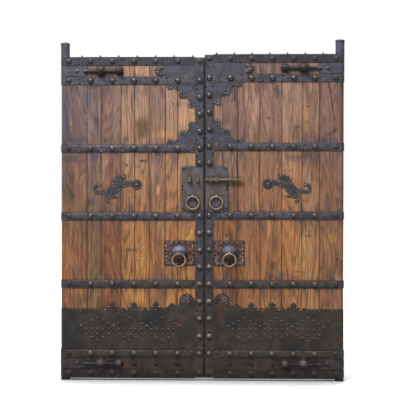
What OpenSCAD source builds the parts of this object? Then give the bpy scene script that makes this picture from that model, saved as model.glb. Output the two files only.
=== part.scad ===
// A pair of plank courtyard gate leaves with iron straps, dome nails, ring pulls,
// ring knockers and a sliding bolt. Each leaf turns on a pivot post in an iron socket.
// +X runs to the viewer's right, +Y away from the viewer, +Z up, all in millimetres.
// Each leaf is drawn in its own frame: X runs from the pivot axis to the meeting edge,
// Z from the underside of the boards, and the front face looks along -Y.

/* [Leaves] */
// Height of the left leaf's boards
left_leaf_h = 2078; // [1900:1:2300]
// Height of the right leaf's boards
right_leaf_h = 2095; // [1900:1:2300]
// Left leaf, from its pivot axis to its meeting edge
left_leaf_w = 905; // [820:2:980]
// Right leaf, from its pivot axis to its meeting edge
right_leaf_w = 874; // [820:2:980]
// Gap between the two meeting edges
leaf_gap = 7; // [5:0.5:12]
// Gap between the closing lips at the back of the meeting edges
close_gap = 0.6; // [0.6:0.1:4]
// Depth of a closing lip
close_lip = 30; // [10:1:32]
// Thickness of the hinge stile, which is also the diameter of its round edge
stile_t = 50; // [44:1:60]
// Thickness of the planks
plank_t = 40; // [34:1:42]
// Relative widths of the left leaf's boards, hinge stile first
left_boards = [144, 91, 130, 87, 95, 104, 78, 167]; // [60:1:200]
// Relative widths of the right leaf's boards, hinge stile first
right_boards = [134, 114, 130, 143, 146, 94, 113]; // [60:1:200]
// Open seam between two boards
seam_w = 0.4; // [0.4:0.1:2]
// Bevel along the front edges of a board
seam_bevel = 2.5; // [1:0.5:4]

/* [Battens] */
// Height of a batten across the back
batten_h = 70; // [60:1:90]
// How far a batten stands proud of the planks
batten_proud = 28; // [20:1:40]
// Depth of the dovetail slot in the planks
batten_let_in = 10; // [6:1:14]
// Length of the tenon that enters the hinge stile
tenon_len = 30; // [20:1:50]

/* [Straps] */
// Height of an iron strap
strap_h = 50; // [40:1:56]
// Thickness of strap iron
strap_t = 4; // [3:0.5:6]
// Height of the middle of the strap on the kick plate
kick_strap_z = 155; // [140:1:170]
// Height of the middle of the lowest strap on bare boards
low_strap_z = 608; // [590:1:620]
// Gap between the top strap and the one below it
upper_gap = 75; // [70:1:90]
// Width of the strap along the meeting edge
edge_strap_w = 55; // [48:1:64]
// Length of a strap's tail on the back of the hinge stile
strap_tail = 90; // [60:1:110]

/* [Kick plate] */
// Height of the sheet iron at the foot of a leaf
kick_h = 448; // [400:1:480]
// Thickness of the sheet iron
kick_t = 2.5; // [1.5:0.5:3.5]
// Width of one cloud head on the upper edge
cloud_w = 58; // [40:1:64]

/* [Nails] */
// Diameter of a dome nail
nail_d = 38; // [30:1:42]
// Height of a dome nail
nail_rise = 15; // [8:1:19]
// Dome nails in one cross strap, with the one on the meeting edge
nail_count = 7; // [5:1:9]
// Distance from the pivot axis to the first dome nail
first_nail_x = 26; // [22:1:40]
// Diameter of a stud on the kick plate
stud_d = 15; // [10:1:18]
// Half the width of a lozenge of studs, which is half its height too
lozenge_r = 74; // [60:1:84]
// Height of a stud on the kick plate
stud_rise = 5; // [3:0.5:7]

/* [Corner plates] */
// Width of a corner plate along its strap
corner_w = 195; // [160:1:230]
// Height of a corner plate along the meeting edge
corner_h = 162; // [140:1:190]
// Thickness of ornamental plate
ornament_t = 2.5; // [1.5:0.5:3.5]
// Diameter of the palmette at the end of the upper plate
flower_d = 72; // [60:1:74]

/* [Hinge bands] */
// Height of the band round the pivot post
band_h = 66; // [50:1:70]
// Length of the flat band
band_len = 124; // [100:1:140]
// Diameter of the rod that tails out of a band
rod_d = 18; // [14:1:22]
// Distance from the pivot axis to the middle boss
mid_boss_x = 236; // [225:1:250]
// Distance from the pivot axis to the end boss
end_boss_x = 355; // [335:1:370]
// Diameter of the middle boss, which lies across the two straps beside it
mid_boss_d = 72; // [64:1:74]
// Diameter of the end boss
end_boss_d = 62; // [52:1:66]
// Height of a boss
boss_rise = 40; // [34:1:46]
// How far the tips of the middle boss's washer reach over a strap
boss_tip = 14; // [8:1:18]

/* [Lock] */
// Width of a lock plate
lock_w = 146; // [130:1:160]
// Height of a lock plate
lock_h = 292; // [260:1:300]
// Gap between a lock plate and the strap below it
lock_gap = 2; // [1:0.5:6]
// Thickness of a lock plate
lock_t = 5; // [4:0.5:6]
// Height of the bolt's axis above the underside of the lock plates
bolt_rise = 205; // [190:1:220]
// Diameter of the bolt
bolt_d = 22; // [16:1:24]
// Length of the bolt
bolt_len = 235; // [210:1:260]
// Inner width of a bolt staple
staple_gap = 26; // [25:0.5:30]
// Width of a bolt staple
staple_w = 18; // [12:1:22]
// Distances from the left meeting edge to its two bolt staples
left_staple_x = [41, 93]; // [25:1:110]
// Distances from the right meeting edge to its two bolt staples
right_staple_x = [35, 76]; // [25:1:110]

/* [Rings] */
// Diameter of a ring, measured through the middle of its wire
ring_d = 82; // [70:1:90]
// Diameter of the ring's wire
wire_d = 11; // [8:0.5:13]
// Height of the pull rings' eyes above the underside of the lock plates
pull_rise = 96; // [90:1:110]
// Height of the knockers above the strap below them
knocker_rise = 201; // [180:1:220]
// Width of a knocker's pierced plate
knocker_w = 200; // [180:1:220]
// Height of a knocker's pierced plate
knocker_h = 164; // [150:1:180]
// Diameter of a knocker's dome
knocker_dome_d = 102; // [90:1:110]
// Height of a knocker's dome
knocker_dome_h = 42; // [30:1:46]

/* [Ornament figures] */
// Distance from the pivot axis to the middle of a figure
figure_x = 338; // [320:1:360]
// Height of the middle of a figure above the strap below it
figure_rise = 176; // [150:1:200]
// Radius of the figure's head
figure_head_r = 33; // [24:1:38]

/* [Pivots] */
// Height of the pivot post above the boards
post_h = 97; // [60:1:120]
// Thickness of the iron sleeve round the post
sleeve_t = 4; // [3:0.5:5]
// How far the bearing lip stands out from the sleeve
lip_out = 2; // [2:0.5:5]
// Height of the bearing lip
lip_h = 10; // [6:1:14]
// Height of a pivot socket
socket_h = 13; // [12:1:16]
// Diameter of a pivot socket
socket_d = 58; // [50:1:60]
// Diameter of the pivot pin
pin_d = 28; // [20:1:32]
// Length of the pivot pin in its socket
pin_len = 9; // [7:0.5:9]
// Gap between the boards' underside and the floor
floor_gap = 20; // [19:1:32]

/* [Hidden] */
$fn = 48;
LEFT = 0;
RIGHT = 1;
SIDES = ["left", "right"];

// Clearances
run_fit = 0.06;
thrust_fit = 0.3;
loose_fit = 0.3;
wood_fit = 0.1;
butt_fit = 0.2;

// Colours
OAK = "peru";
OAK_DARK = "sienna";
IRON = "dimgray";
IRON_DARK = "darkslategray";
RUST = "saddlebrown";
BRONZE = "darkgoldenrod";

// Places shared by several pieces
leaf_w = [left_leaf_w, right_leaf_w];
leaf_h = [left_leaf_h, right_leaf_h];
stile_r = stile_t / 2;
front_y = -stile_r;
back_y = front_y + plank_t;
strap_y = front_y - strap_t;
kick_y = front_y - kick_t;
strap_count = 5;
lower_gap = kick_strap_z - 1.5 * strap_h;
lower_band_z = strap_h + lower_gap / 2;
pivot_span = left_leaf_w + leaf_gap + right_leaf_w;
sleeve_r = stile_r + sleeve_t;
rod_r = rod_d / 2;
rod_seat = 0.5;
bolt_y = front_y - lock_t - staple_gap / 2 - 2;
staple_x = [left_staple_x, right_staple_x];
staple_t = 4;
staple_r = staple_gap / 2;
eye_t = 8;
eye_r = wire_d / 2 + 0.5;
eye_wall = 6;
eye_shank_d = 12;
pull_stand = wire_d / 2 + 7;
knock_stand = wire_d / 2 + 7;
knocker_t = 3;
knocker_top_y = front_y - knocker_t - knocker_dome_h;
pull_eye_y = front_y - lock_t - pull_stand;
knock_eye_y = knocker_top_y - knock_stand;
front_reach = -knock_eye_y + eye_r + eye_wall;
back_reach = back_y + batten_proud;
axis_y = (front_reach - back_reach) / 2;

// Underside of the top strap, and the middles of the cross straps from the kick plate up
function top_strap_z(side) = leaf_h[side] - strap_h;
function upper_strap_z(side) = top_strap_z(side) - upper_gap - strap_h / 2;
function strap_pitch(side) = (upper_strap_z(side) - low_strap_z) / (strap_count - 2);
function strap_z(side) = concat(
    [kick_strap_z],
    [for (i = [0 : strap_count - 2]) low_strap_z + i * strap_pitch(side)]);
function upper_band_z(side) = top_strap_z(side) - upper_gap / 2;

// The lock stands on the higher of the two leaves' straps
lock_strap = 2;
lock_z = max(strap_z(LEFT)[lock_strap], strap_z(RIGHT)[lock_strap]) + strap_h / 2 + lock_gap;
bolt_z = lock_z + bolt_rise;
pull_z = lock_z + pull_rise;
knocker_z = low_strap_z + knocker_rise;

// Sum of the first n entries of a list
function sum_to(list, n) = n == 0 ? 0 : list[n - 1] + sum_to(list, n - 1);
function boards(side) = side == LEFT ? left_boards : right_boards;
function plank_count(side) = len(boards(side)) - 2;
// Width of timber from the pivot axis to the iron on the meeting edge
function timber_w(side) = leaf_w[side] - strap_t;
// Distance from the pivot axis to the far side of board n
function seam_x(side, n) =
    timber_w(side) * sum_to(boards(side), n + 1) / sum_to(boards(side), len(boards(side)));
// Where the cross straps stop against the meeting-edge strap
function inner_x(side) = leaf_w[side] - edge_strap_w;
function edge_nail_x(side) = leaf_w[side] - edge_strap_w / 2;
function nail_pitch(side) = (edge_nail_x(side) - first_nail_x) / (nail_count - 1);
function nail_x(side, i) = first_nail_x + i * nail_pitch(side);
// Where a closing lip ends, and its front face
function close_x(side) = leaf_w[side] + (leaf_gap - close_gap) / 2;
close_y = back_y - close_lip;
function lock_mid_x(side) = leaf_w[side] - lock_w / 2;
function knocker_x(side) = inner_x(side) - 4 - knocker_w / 2;

function piece_names(side) = concat(
    ["hinge_stile"],
    [for (i = [1 : plank_count(side)]) str("plank_", i)],
    ["meeting_stile", "back_battens", "top_strap", "cross_straps", "bottom_strap",
     "edge_strap", "corner_plates", "kick_plate", "hinge_bands", "band_bosses",
     "lock_plate", "bolt_staples", "ring_eyes", "pull_ring", "knocker_plate",
     "knocker_dome", "knocker_ring", "figure_plate", "dome_nails", "small_nails",
     "post_sleeve", "pivot_shoe", "pivot_socket"]);

// Carries a leaf's own frame to its pivot axis
module at_leaf(side) {
    if (side == LEFT)
        translate([-pivot_span / 2, axis_y, floor_gap]) children();
    else
        translate([pivot_span / 2, axis_y, floor_gap]) mirror([1, 0, 0]) children();
}

// Sheet of thickness t whose back lies at y, from an outline in X and Z
module sheet(y, t) {
    translate([0, y, 0]) rotate([90, 0, 0]) linear_extrude(t) children();
}

// Turns a solid so that its +Z looks at the viewer, and seats it on the plane at y
module seated(x, y, z) {
    translate([x, y, z]) rotate([90, 0, 0]) children();
}

// Bar from its section in Y and Z, length w, starting at x
module section_bar(x, w) {
    translate([x, 0, 0]) rotate([90, 0, 90]) linear_extrude(w) children();
}

// Spherical cap of base diameter d and height h
module dome(d, h) {
    r = (d * d / 4 + h * h) / (2 * h);
    intersection() {
        translate([0, 0, h - r]) sphere(r);
        cylinder(r = d, h = h + 1);
    }
}

// Points of a half circle about c that turns from angle a to a + turn
function half_round(c, r, a, turn) = [for (i = [0 : 8]) c + r * unit(a + turn * i / 8)];

// Straight stroke with round ends, from radius r0 at p0 to r1 at p1
module stroke(p0, p1, r0, r1) {
    along = atan2(p1[1] - p0[1], p1[0] - p0[0]);
    polygon(concat(half_round(p0, r0, along + 90, 180), half_round(p1, r1, along - 90, 180)));
}

// Curved stroke about c at radius r, from half-width w0 at angle a0 to w1 at a1
module hook(c, r, a0, a1, w0, w1) {
    steps = 16;
    turn = a1 > a0 ? 180 : -180;
    at = [for (i = [0 : steps - 1]) i / steps];
    function width(t) = w0 + t * (w1 - w0);
    polygon(concat(
        [for (t = at) c + (r + width(t)) * unit(a0 + t * (a1 - a0))],
        half_round(c + r * unit(a1), w1, a1, turn),
        [for (i = [steps - 1 : -1 : 0]) c + (r - width(at[i])) * unit(a0 + at[i] * (a1 - a0))]));
}
function unit(a) = [cos(a), sin(a)];

// Timber

module batten_section(grow) {
    neck = batten_h * 0.36;
    tail = batten_h * 0.43;
    polygon([
        [back_y - batten_let_in - grow, -tail - grow],
        [back_y - batten_let_in - grow, tail + grow],
        [back_y, neck + grow],
        [back_y, -neck - grow]]);
}

module batten_slots(side, x0, x1) {
    for (z = strap_z(side))
        translate([0, 0, z]) section_bar(x0 - 1, x1 - x0 + 2) batten_section(wood_fit);
}

module tenon(side, grow) {
    t = batten_let_in - 2;
    x1 = seam_x(side, 0);
    translate([x1 - tenon_len - grow, back_y - batten_let_in + 1 - grow, -batten_h / 4 - grow])
        cube([tenon_len + seam_w + 2 * grow, t + 2 * grow, batten_h / 2 + 2 * grow]);
}

module hinge_stile(side) {
    x1 = seam_x(side, 0) - seam_w / 2;
    color(OAK) difference() {
        union() {
            linear_extrude(leaf_h[side]) {
                circle(stile_r);
                translate([0, front_y]) polygon([
                    [0, 0], [x1 - seam_bevel, 0], [x1, seam_bevel], [x1, stile_t], [0, stile_t]]);
            }
            cylinder(r = stile_r, h = leaf_h[side] + post_h - sleeve_t - butt_fit);
        }
        translate([0, 0, -1]) cylinder(d = shoe_tang_d + 2 * wood_fit, h = shoe_tang_h + 2);
        for (z = strap_z(side))
            translate([0, 0, z]) tenon(side, wood_fit);
    }
}

// Front and edges of a board from x0 to x1, as points in X and Y
function board_front(x0, x1) = [
    [x0, back_y], [x0, front_y + seam_bevel], [x0 + seam_bevel, front_y],
    [x1 - seam_bevel, front_y], [x1, front_y + seam_bevel]];

module plank(side, n) {
    x0 = seam_x(side, n - 1) + seam_w / 2;
    x1 = seam_x(side, n) - seam_w / 2;
    color(OAK) difference() {
        linear_extrude(leaf_h[side]) polygon(concat(board_front(x0, x1), [[x1, back_y]]));
        batten_slots(side, x0, x1);
    }
}

// The last board carries the closing lip
module meeting_stile(side) {
    x0 = seam_x(side, plank_count(side)) + seam_w / 2;
    x1 = timber_w(side);
    lip_x = close_x(side);
    color(OAK) difference() {
        linear_extrude(leaf_h[side]) polygon(concat(
            board_front(x0, x1),
            [[x1, close_y], [lip_x, close_y], [lip_x, back_y]]));
        batten_slots(side, x0, x1);
    }
}

module back_battens(side) {
    x0 = seam_x(side, 0) + seam_w / 2;
    x1 = timber_w(side);
    bevel = 6;
    color(OAK_DARK) for (z = strap_z(side))
        translate([0, 0, z]) {
            section_bar(x0, x1 - x0) {
                batten_section(0);
                polygon([
                    [back_y, -batten_h / 2], [back_y, batten_h / 2],
                    [back_y + batten_proud - bevel, batten_h / 2],
                    [back_y + batten_proud, batten_h / 2 - bevel],
                    [back_y + batten_proud, bevel - batten_h / 2],
                    [back_y + batten_proud - bevel, -batten_h / 2]]);
            }
            tenon(side, 0);
        }
}

// Strap iron

// Plan of iron that lies lift proud of the boards, turns round the stile's edge and
// ends in a tail on its back
module wrap_plan(x_end, lift, t) {
    r = stile_r + lift;
    translate([0, -r - t]) square([x_end, t]);
    difference() {
        circle(r + t);
        circle(r + loose_fit);
        translate([0, -2 * r]) square(4 * r);
    }
    translate([0, r + loose_fit]) square([strap_tail, t - loose_fit]);
}

module cross_straps(side) {
    color(IRON) for (i = [0 : strap_count - 1])
        translate([0, 0, strap_z(side)[i] - strap_h / 2])
            linear_extrude(strap_h) wrap_plan(inner_x(side), i == 0 ? kick_t : 0, strap_t);
}

module top_strap(side) {
    x0 = sleeve_r + lip_out;
    color(IRON) {
        translate([0, 0, top_strap_z(side)])
            linear_extrude(strap_h) wrap_plan(inner_x(side), 0, strap_t);
        translate([x0, strap_y, leaf_h[side]]) cube([inner_x(side) - x0, plank_t + strap_t, strap_t]);
    }
}

module bottom_strap(side) {
    x0 = sleeve_r + lip_out;
    y0 = kick_y - strap_t;
    color(IRON_DARK) {
        linear_extrude(strap_h) wrap_plan(inner_x(side), kick_t, strap_t);
        translate([x0, y0, -strap_t]) cube([inner_x(side) - x0, back_y - y0, strap_t]);
    }
}

module edge_strap(side) {
    color(IRON) difference() {
        linear_extrude(leaf_h[side]) {
            translate([inner_x(side), strap_y]) square([edge_strap_w, strap_t]);
            translate([timber_w(side), strap_y]) square([strap_t, close_y - butt_fit - strap_y]);
        }
        translate([inner_x(side) - 1, strap_y - 1, lock_z - butt_fit])
            cube([edge_strap_w + 2, strap_t + 1, lock_h + 2 * butt_fit]);
    }
}

// Sheet ornament

// Pierced spandrel in the corner at the origin, w to the hinge side and h along the meeting
// edge, with round lobes along its hollow side
module spandrel(w, h) {
    lobe = min(w, h) / 7;
    lobes = [[-0.84 * w, 0.07 * h], [-0.41 * w, 0.38 * h], [-0.13 * w, 0.8 * h]];
    lobe_size = [1, 1.3, 0.95];
    necks = [[-0.66 * w, 0.14 * h], [-0.25 * w, 0.57 * h]];
    difference() {
        union() {
            polygon([[0, 0], [-0.9 * w, 0], necks[0], necks[1], [0, 0.95 * h]]);
            for (i = [0 : len(lobes) - 1])
                translate(lobes[i]) circle(lobe * lobe_size[i]);
        }
        for (p = necks, along = [0.79, 0.92])
            translate(p * along) circle(lobe * 0.22);
        translate([-2 * w, -2 * lobe]) square([2 * w, 2 * lobe]);
        translate([0, -lobe]) square([2 * lobe, h + 2 * lobe]);
    }
}

// Palmette of height d that opens away from the meeting edge
module palmette(d) {
    petals = [50 : 40 : 310];
    difference() {
        union() {
            circle(d * 0.38);
            for (a = petals)
                translate(d * 0.36 * unit(a)) circle(d * 0.13);
        }
        for (a = petals)
            translate(d * 0.24 * unit(a)) circle(d * 0.045);
    }
}

// How much longer than tall the palmette is
flower_stretch = 1.2;

module corner_plates(side) {
    x1 = inner_x(side) - butt_fit;
    upper_z = upper_strap_z(side);
    color(IRON) {
        sheet(front_y, ornament_t) translate([x1, upper_z - strap_h / 2 - butt_fit])
            mirror([0, 1]) spandrel(corner_w, corner_h);
        sheet(front_y, ornament_t) translate([x1 - corner_w, upper_z + strap_h / 2 + butt_fit])
            square([corner_w, upper_gap - 2 * butt_fit]);
        sheet(front_y, ornament_t) translate([x1 - corner_w - 0.4 * flower_d, upper_band_z(side)])
            scale([flower_stretch, 1]) palmette(flower_d);
        sheet(front_y, ornament_t)
            translate([x1, strap_z(side)[strap_count - 2] + strap_h / 2 + butt_fit])
                spandrel(corner_w, corner_h);
    }
}

// Cloud head of width w that stands on the X axis
module cloud_head(w) {
    difference() {
        union() {
            polygon([
                [-0.36 * w, 0], [0.36 * w, 0], [0.2 * w, 0.45 * w], [0, 0.8 * w],
                [-0.2 * w, 0.45 * w]]);
            for (s = [-1, 1]) {
                translate([s * 0.33 * w, 0.24 * w]) circle(0.15 * w);
                translate([s * 0.17 * w, 0.5 * w]) circle(0.11 * w);
            }
        }
        translate([-w, -w]) square([2 * w, w]);
    }
}

// Low corner of the kick plate, with a pierced scroll that stands up over the boards
module kick_corner(w) {
    curls = [[-0.4, 0.32, 0.1], [-0.27, 0.38, 0.085]];
    difference() {
        union() {
            polygon(w * [
                [0, 0], [-1, 0], [-0.85, 0.12], [-0.57, 0.12], [-0.49, 0.17], [-0.23, 0.23], [0, 0.3]]);
            polygon(w * [[-0.5, 0.15], [-0.3, 0.15], [-0.26, 0.32], [-0.46, 0.32]]);
            translate(w * [-0.77, 0.1]) circle(0.075 * w);
            for (c = w * curls)
                translate([c[0], c[1]]) circle(c[2]);
        }
        for (c = w * curls)
            translate([c[0], c[1]]) circle(c[2] / 3);
        translate([-w, -w]) square([w, w]);
    }
}

// First cloud head, and the number of them along the kick plate
function cloud_x(side, i) = nail_x(side, 2) + i * nail_pitch(side);
cloud_count = 3;

module kick_outline(side) {
    x1 = inner_x(side) - butt_fit;
    square([x1, kick_h]);
    for (i = [0 : cloud_count - 1])
        translate([cloud_x(side, i), kick_h]) cloud_head(cloud_w);
    for (i = [0 : 4 * cloud_count])
        translate([cloud_x(side, -0.5) + i * nail_pitch(side) / 4, kick_h]) circle(cloud_w / 7);
    translate([x1, kick_h - butt_fit])
        kick_corner(corner_w);
}

module kick_plate(side) {
    color(IRON_DARK) {
        linear_extrude(kick_h) intersection() {
            wrap_plan(1, 0, kick_t);
            translate([-2 * stile_t, -2 * stile_t]) square([2 * stile_t + strap_tail, 4 * stile_t]);
        }
        sheet(front_y, kick_t) kick_outline(side);
    }
}

// Hinge bands with their rods and bosses

module hinge_band(z, lift) {
    y = front_y - lift;
    rod_y = y - rod_r - rod_seat;
    taper = 24;
    translate([0, 0, z - band_h / 2]) linear_extrude(band_h) wrap_plan(1, lift, strap_t);
    translate([0, 0, z]) {
        sheet(y, strap_t) polygon([
            [0, -band_h / 2], [band_len, -band_h / 2], [band_len + taper, -rod_r],
            [band_len + taper, rod_r], [band_len, band_h / 2], [0, band_h / 2]]);
        translate([band_len, rod_y, 0]) rotate([0, 90, 0])
            cylinder(d = rod_d, h = end_boss_x - band_len);
        seated(band_len * 0.64, y - strap_t + 0.5, 0) dome(nail_d * 0.8, nail_rise * 0.6);
    }
}

module hinge_bands(side) {
    color(IRON) {
        hinge_band(upper_band_z(side), 0);
        hinge_band(lower_band_z, kick_t);
    }
}

// Arched slot of width w and height h under a boss, for the rod
module rod_slot(w, h) {
    polygon(concat(
        [[w / 2, -1]],
        half_round([0, h - w / 2], w / 2, 0, 180),
        [[-w / 2, -1]]));
}

// Petalled washer and knob that straddle the rod; the rod's front lies rod_rise above the
// seat, and the washer runs out into pointed tips at the given places
module band_boss(d, x, z, lift, rod_rise, tips) {
    petals = 10;
    wash = 4;
    steps = 8;
    slot_w = rod_d + 2 * loose_fit;
    knob_r = d * 0.38;
    knob_h = boss_rise - d * 0.08;
    tip_r = d * 0.12;
    knob = [for (i = [0 : steps])
        let (a = 90 * i / steps, r = knob_r * cos(a)) if (r > tip_r) [r, wash + (knob_h - wash) * sin(a)]];
    seated(x, front_y - lift, z) difference() {
        union() {
            rotate_extrude() polygon(concat(
                [[0, 0], [d * 0.46, 0], [d * 0.46, wash - 1], [d * 0.42, wash]],
                knob,
                [[tip_r, knob_h], [tip_r * 0.7, boss_rise - 1], [0, boss_rise]]));
            for (a = [0 : 360 / petals : 359])
                rotate(a) translate([d * 0.44, 0, 0]) cylinder(d = d * 0.12, h = wash - 1.5);
            for (tip = tips)
                linear_extrude(wash - 2) polygon([
                    tip, d * 0.36 * unit(atan2(tip[1], tip[0]) + 40),
                    d * 0.36 * unit(atan2(tip[1], tip[0]) - 40)]);
        }
        translate([-d, 0, 0]) rotate([90, 0, 90]) linear_extrude(2 * d)
            rod_slot(slot_w, rod_rise + loose_fit);
    }
}

// The middle boss lies over the straps, the end boss on the boards between them
module boss_pair(z, lift, gap) {
    rod_rise = rod_d + rod_seat;
    reach = gap / 2 + boss_tip;
    band_boss(mid_boss_d, mid_boss_x, z, lift + strap_t, rod_rise - strap_t, [[0, reach], [0, -reach]]);
    band_boss(end_boss_d, end_boss_x, z, lift, rod_rise, [[end_boss_d * 0.62, 0]]);
}

module band_bosses(side) {
    color(IRON) {
        boss_pair(upper_band_z(side), 0, upper_gap);
        boss_pair(lower_band_z, kick_t, lower_gap);
    }
}

// Lock

module lock_plate(side) {
    notch = 10;
    x0 = leaf_w[side] - lock_w;
    z_mid = lock_z + lock_h / 2;
    color(IRON) difference() {
        sheet(front_y, lock_t) difference() {
            translate([x0, lock_z]) square([lock_w, lock_h]);
            for (z = [lock_z, lock_z + lock_h]) {
                translate([x0, z]) circle(notch);
                translate([x0 + notch * 1.5, z]) circle(notch * 0.6);
                translate([x0, z + (z_mid > z ? 1 : -1) * notch * 1.5]) circle(notch * 0.6);
            }
            translate([x0, z_mid + notch]) circle(notch * 0.7);
            translate([x0, z_mid - notch]) circle(notch * 0.7);
        }
        seated(lock_mid_x(side), front_y + 1, pull_z)
            cylinder(d = eye_shank_d + 2 * loose_fit, h = lock_t + 2);
    }
}

module bolt_staples(side) {
    seat_y = front_y - lock_t;
    bridge_y = bolt_y - staple_r;
    top_y = bridge_y - staple_t;
    r_out = staple_r + staple_t;
    bevel = 3;
    color(BRONZE) for (x = staple_x[side])
        translate([0, 0, bolt_z + staple_r - bolt_d / 2 - loose_fit])
            section_bar(leaf_w[side] - x - staple_w / 2, staple_w) polygon([
                [seat_y, -r_out], [top_y + bevel, -r_out], [top_y, bevel - r_out],
                [top_y, r_out - bevel], [top_y + bevel, r_out], [seat_y, r_out],
                [seat_y, staple_r], [bridge_y, staple_r],
                [bridge_y, -staple_r], [seat_y, -staple_r]]);
}

// Bolt in the right leaf's frame, drawn just clear of the meeting edge
module bolt() {
    grip_len = bolt_len * 0.38;
    bead = 2.5;
    tip = 3;
    color(BRONZE) translate([leaf_w[RIGHT] - 3, bolt_y, bolt_z]) rotate([0, -90, 0]) {
        cylinder(d1 = bolt_d - 2 * tip, d2 = bolt_d, h = tip);
        translate([0, 0, tip]) cylinder(d = bolt_d, h = bolt_len - grip_len - tip);
        translate([0, 0, bolt_len - grip_len]) cylinder(d = bolt_d - 4, h = grip_len - bead);
        for (t = [0.08, 0.2, 0.6, 0.72])
            translate([0, 0, bolt_len - grip_len * (1 - t)]) cylinder(d = bolt_d - 1, h = bead);
        translate([0, 0, bolt_len - 4 * bead]) cylinder(d = bolt_d, h = 4 * bead);
    }
}

// Rings and their eyes

// Eye on a shank that enters its seat by depth; the seat lies stand behind the eye
module ring_eye(x, y, z, stand, depth) {
    r_out = eye_r + eye_wall;
    translate([x, y, z]) difference() {
        union() {
            translate([-eye_t / 2, 0, 0]) rotate([0, 90, 0]) cylinder(r = r_out, h = eye_t);
            rotate([-90, 0, 0]) cylinder(d = eye_shank_d, h = stand + depth);
        }
        translate([-eye_shank_d, 0, 0]) rotate([0, 90, 0])
            cylinder(r = eye_r, h = 2 * eye_shank_d);
    }
}

module ring_eyes(side) {
    color(BRONZE) {
        ring_eye(lock_mid_x(side), pull_eye_y, pull_z, pull_stand, lock_t - 1);
        ring_eye(knocker_x(side), knock_eye_y, knocker_z, knock_stand, 8);
    }
}

module ring(x, y, z) {
    color(BRONZE) translate([x, y, z - ring_d / 2]) rotate([90, 0, 0])
        rotate_extrude() translate([ring_d / 2, 0]) circle(d = wire_d);
}

module pull_ring(side) {
    ring(lock_mid_x(side), pull_eye_y, pull_z);
}

module knocker_ring(side) {
    ring(knocker_x(side), knock_eye_y, knocker_z);
}

module knocker_plate(side) {
    w = knocker_w / 2;
    h = knocker_h / 2;
    hole = 5;
    lace_x = 6;
    lace_z = 5;
    color(RUST) sheet(front_y, knocker_t) translate([knocker_x(side), knocker_z]) difference() {
        square([knocker_w, knocker_h], center = true);
        for (i = [0 : lace_x], s = [-1, 1])
            translate([(i / lace_x * 2 - 1) * w, s * h]) circle(hole);
        for (i = [1 : lace_z - 1], s = [-1, 1])
            translate([s * w, (i / lace_z * 2 - 1) * h]) circle(hole);
        for (sx = [-1, 1], sz = [-1, 1]) {
            translate([sx * w * 0.78, sz * h * 0.72]) circle(hole);
            translate([sx * w * 0.58, sz * h * 0.8]) circle(hole * 0.7);
            translate([sx * w * 0.82, sz * h * 0.42]) circle(hole * 0.7);
        }
        for (sx = [-1, 1])
            translate([sx * w * 0.76, 0]) circle(hole * 0.8);
    }
}

module knocker_dome(side) {
    wall = 4;
    color(IRON) seated(knocker_x(side), front_y - knocker_t, knocker_z) difference() {
        dome(knocker_dome_d, knocker_dome_h);
        translate([0, 0, -0.01]) dome(knocker_dome_d - 2 * wall, knocker_dome_h - wall);
        cylinder(d = eye_shank_d + 2 * loose_fit, h = knocker_dome_h + 1);
    }
}

// Ornament figure with a round head towards the meeting edge, a crest, a tail and a foot,
// drawn about a head of the given radius
module figure_plate(side) {
    r = figure_head_r;
    head = r * [3.9, 0.9];
    neck = r * [1.06, 1];
    chest = r * [0.82, 1.45];
    rump = r * [-1.55, -1.06];
    tail = r * [-3.58, -0.7];
    tail_r = r * 0.73;
    foot = r * [-2.15, -2.12];
    crest = r * [
        [-0.88, 1, 0.27], [-0.64, 1.82, 0.27], [-0.09, 2.12, 0.39],
        [0.67, 2.36, 0.39], [1.33, 2.36, 0.36], [1.6, 2.67, 0.21]];
    color(IRON_DARK) translate([figure_x, 0, strap_z(side)[lock_strap] + figure_rise]) {
        sheet(front_y, ornament_t) translate(head) difference() {
            circle(r);
            circle(r * 0.18);
        }
        sheet(front_y, ornament_t) stroke(head + r * [-0.7, 0.3], neck, r * 0.42, r * 0.64);
        sheet(front_y, ornament_t) stroke(chest, rump, r * 1.09, r * 0.91);
        for (c = crest)
            sheet(front_y, ornament_t) translate([c[0], c[1]]) circle(c[2]);
        sheet(front_y, ornament_t) stroke(rump + r * [-0.3, 0.6], tail, r * 0.42, r * 0.33);
        sheet(front_y, ornament_t) hook(tail + [0, tail_r], tail_r, 270, 80, r * 0.33, r * 0.27);
        sheet(front_y, ornament_t) stroke(rump + r * [-0.55, 0], foot, r * 0.39, r * 0.27);
        sheet(front_y, ornament_t) stroke(foot, foot + r * [0.55, -0.45], r * 0.27, r * 0.24);
        sheet(front_y, ornament_t)
            stroke(rump + r * [0.24, -0.39], rump + r * [1.64, -0.45], r * 0.39, r * 0.21);
    }
}

// Nails

// Edge nails stand at quarters of the way between straps, except on the lock plate, which has
// one close above it
function on_lock(z) = z > lock_z - nail_d / 2 && z < lock_z + lock_h + nail_d / 2;
function edge_nail_z(side) = concat(
    [lock_z + lock_h + lock_gap + nail_d / 2],
    [for (i = [0 : strap_count - 1], q = [0 : i < strap_count - 1 ? 3 : 0])
        let (low = strap_z(side)[i], high = strap_z(side)[min(i + 1, strap_count - 1)])
        let (z = low + q / 4 * (high - low))
        if (!on_lock(z)) z]);

module dome_nail(x, y, z, rise) {
    seated(x, y, z) dome(nail_d, rise);
}

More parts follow.
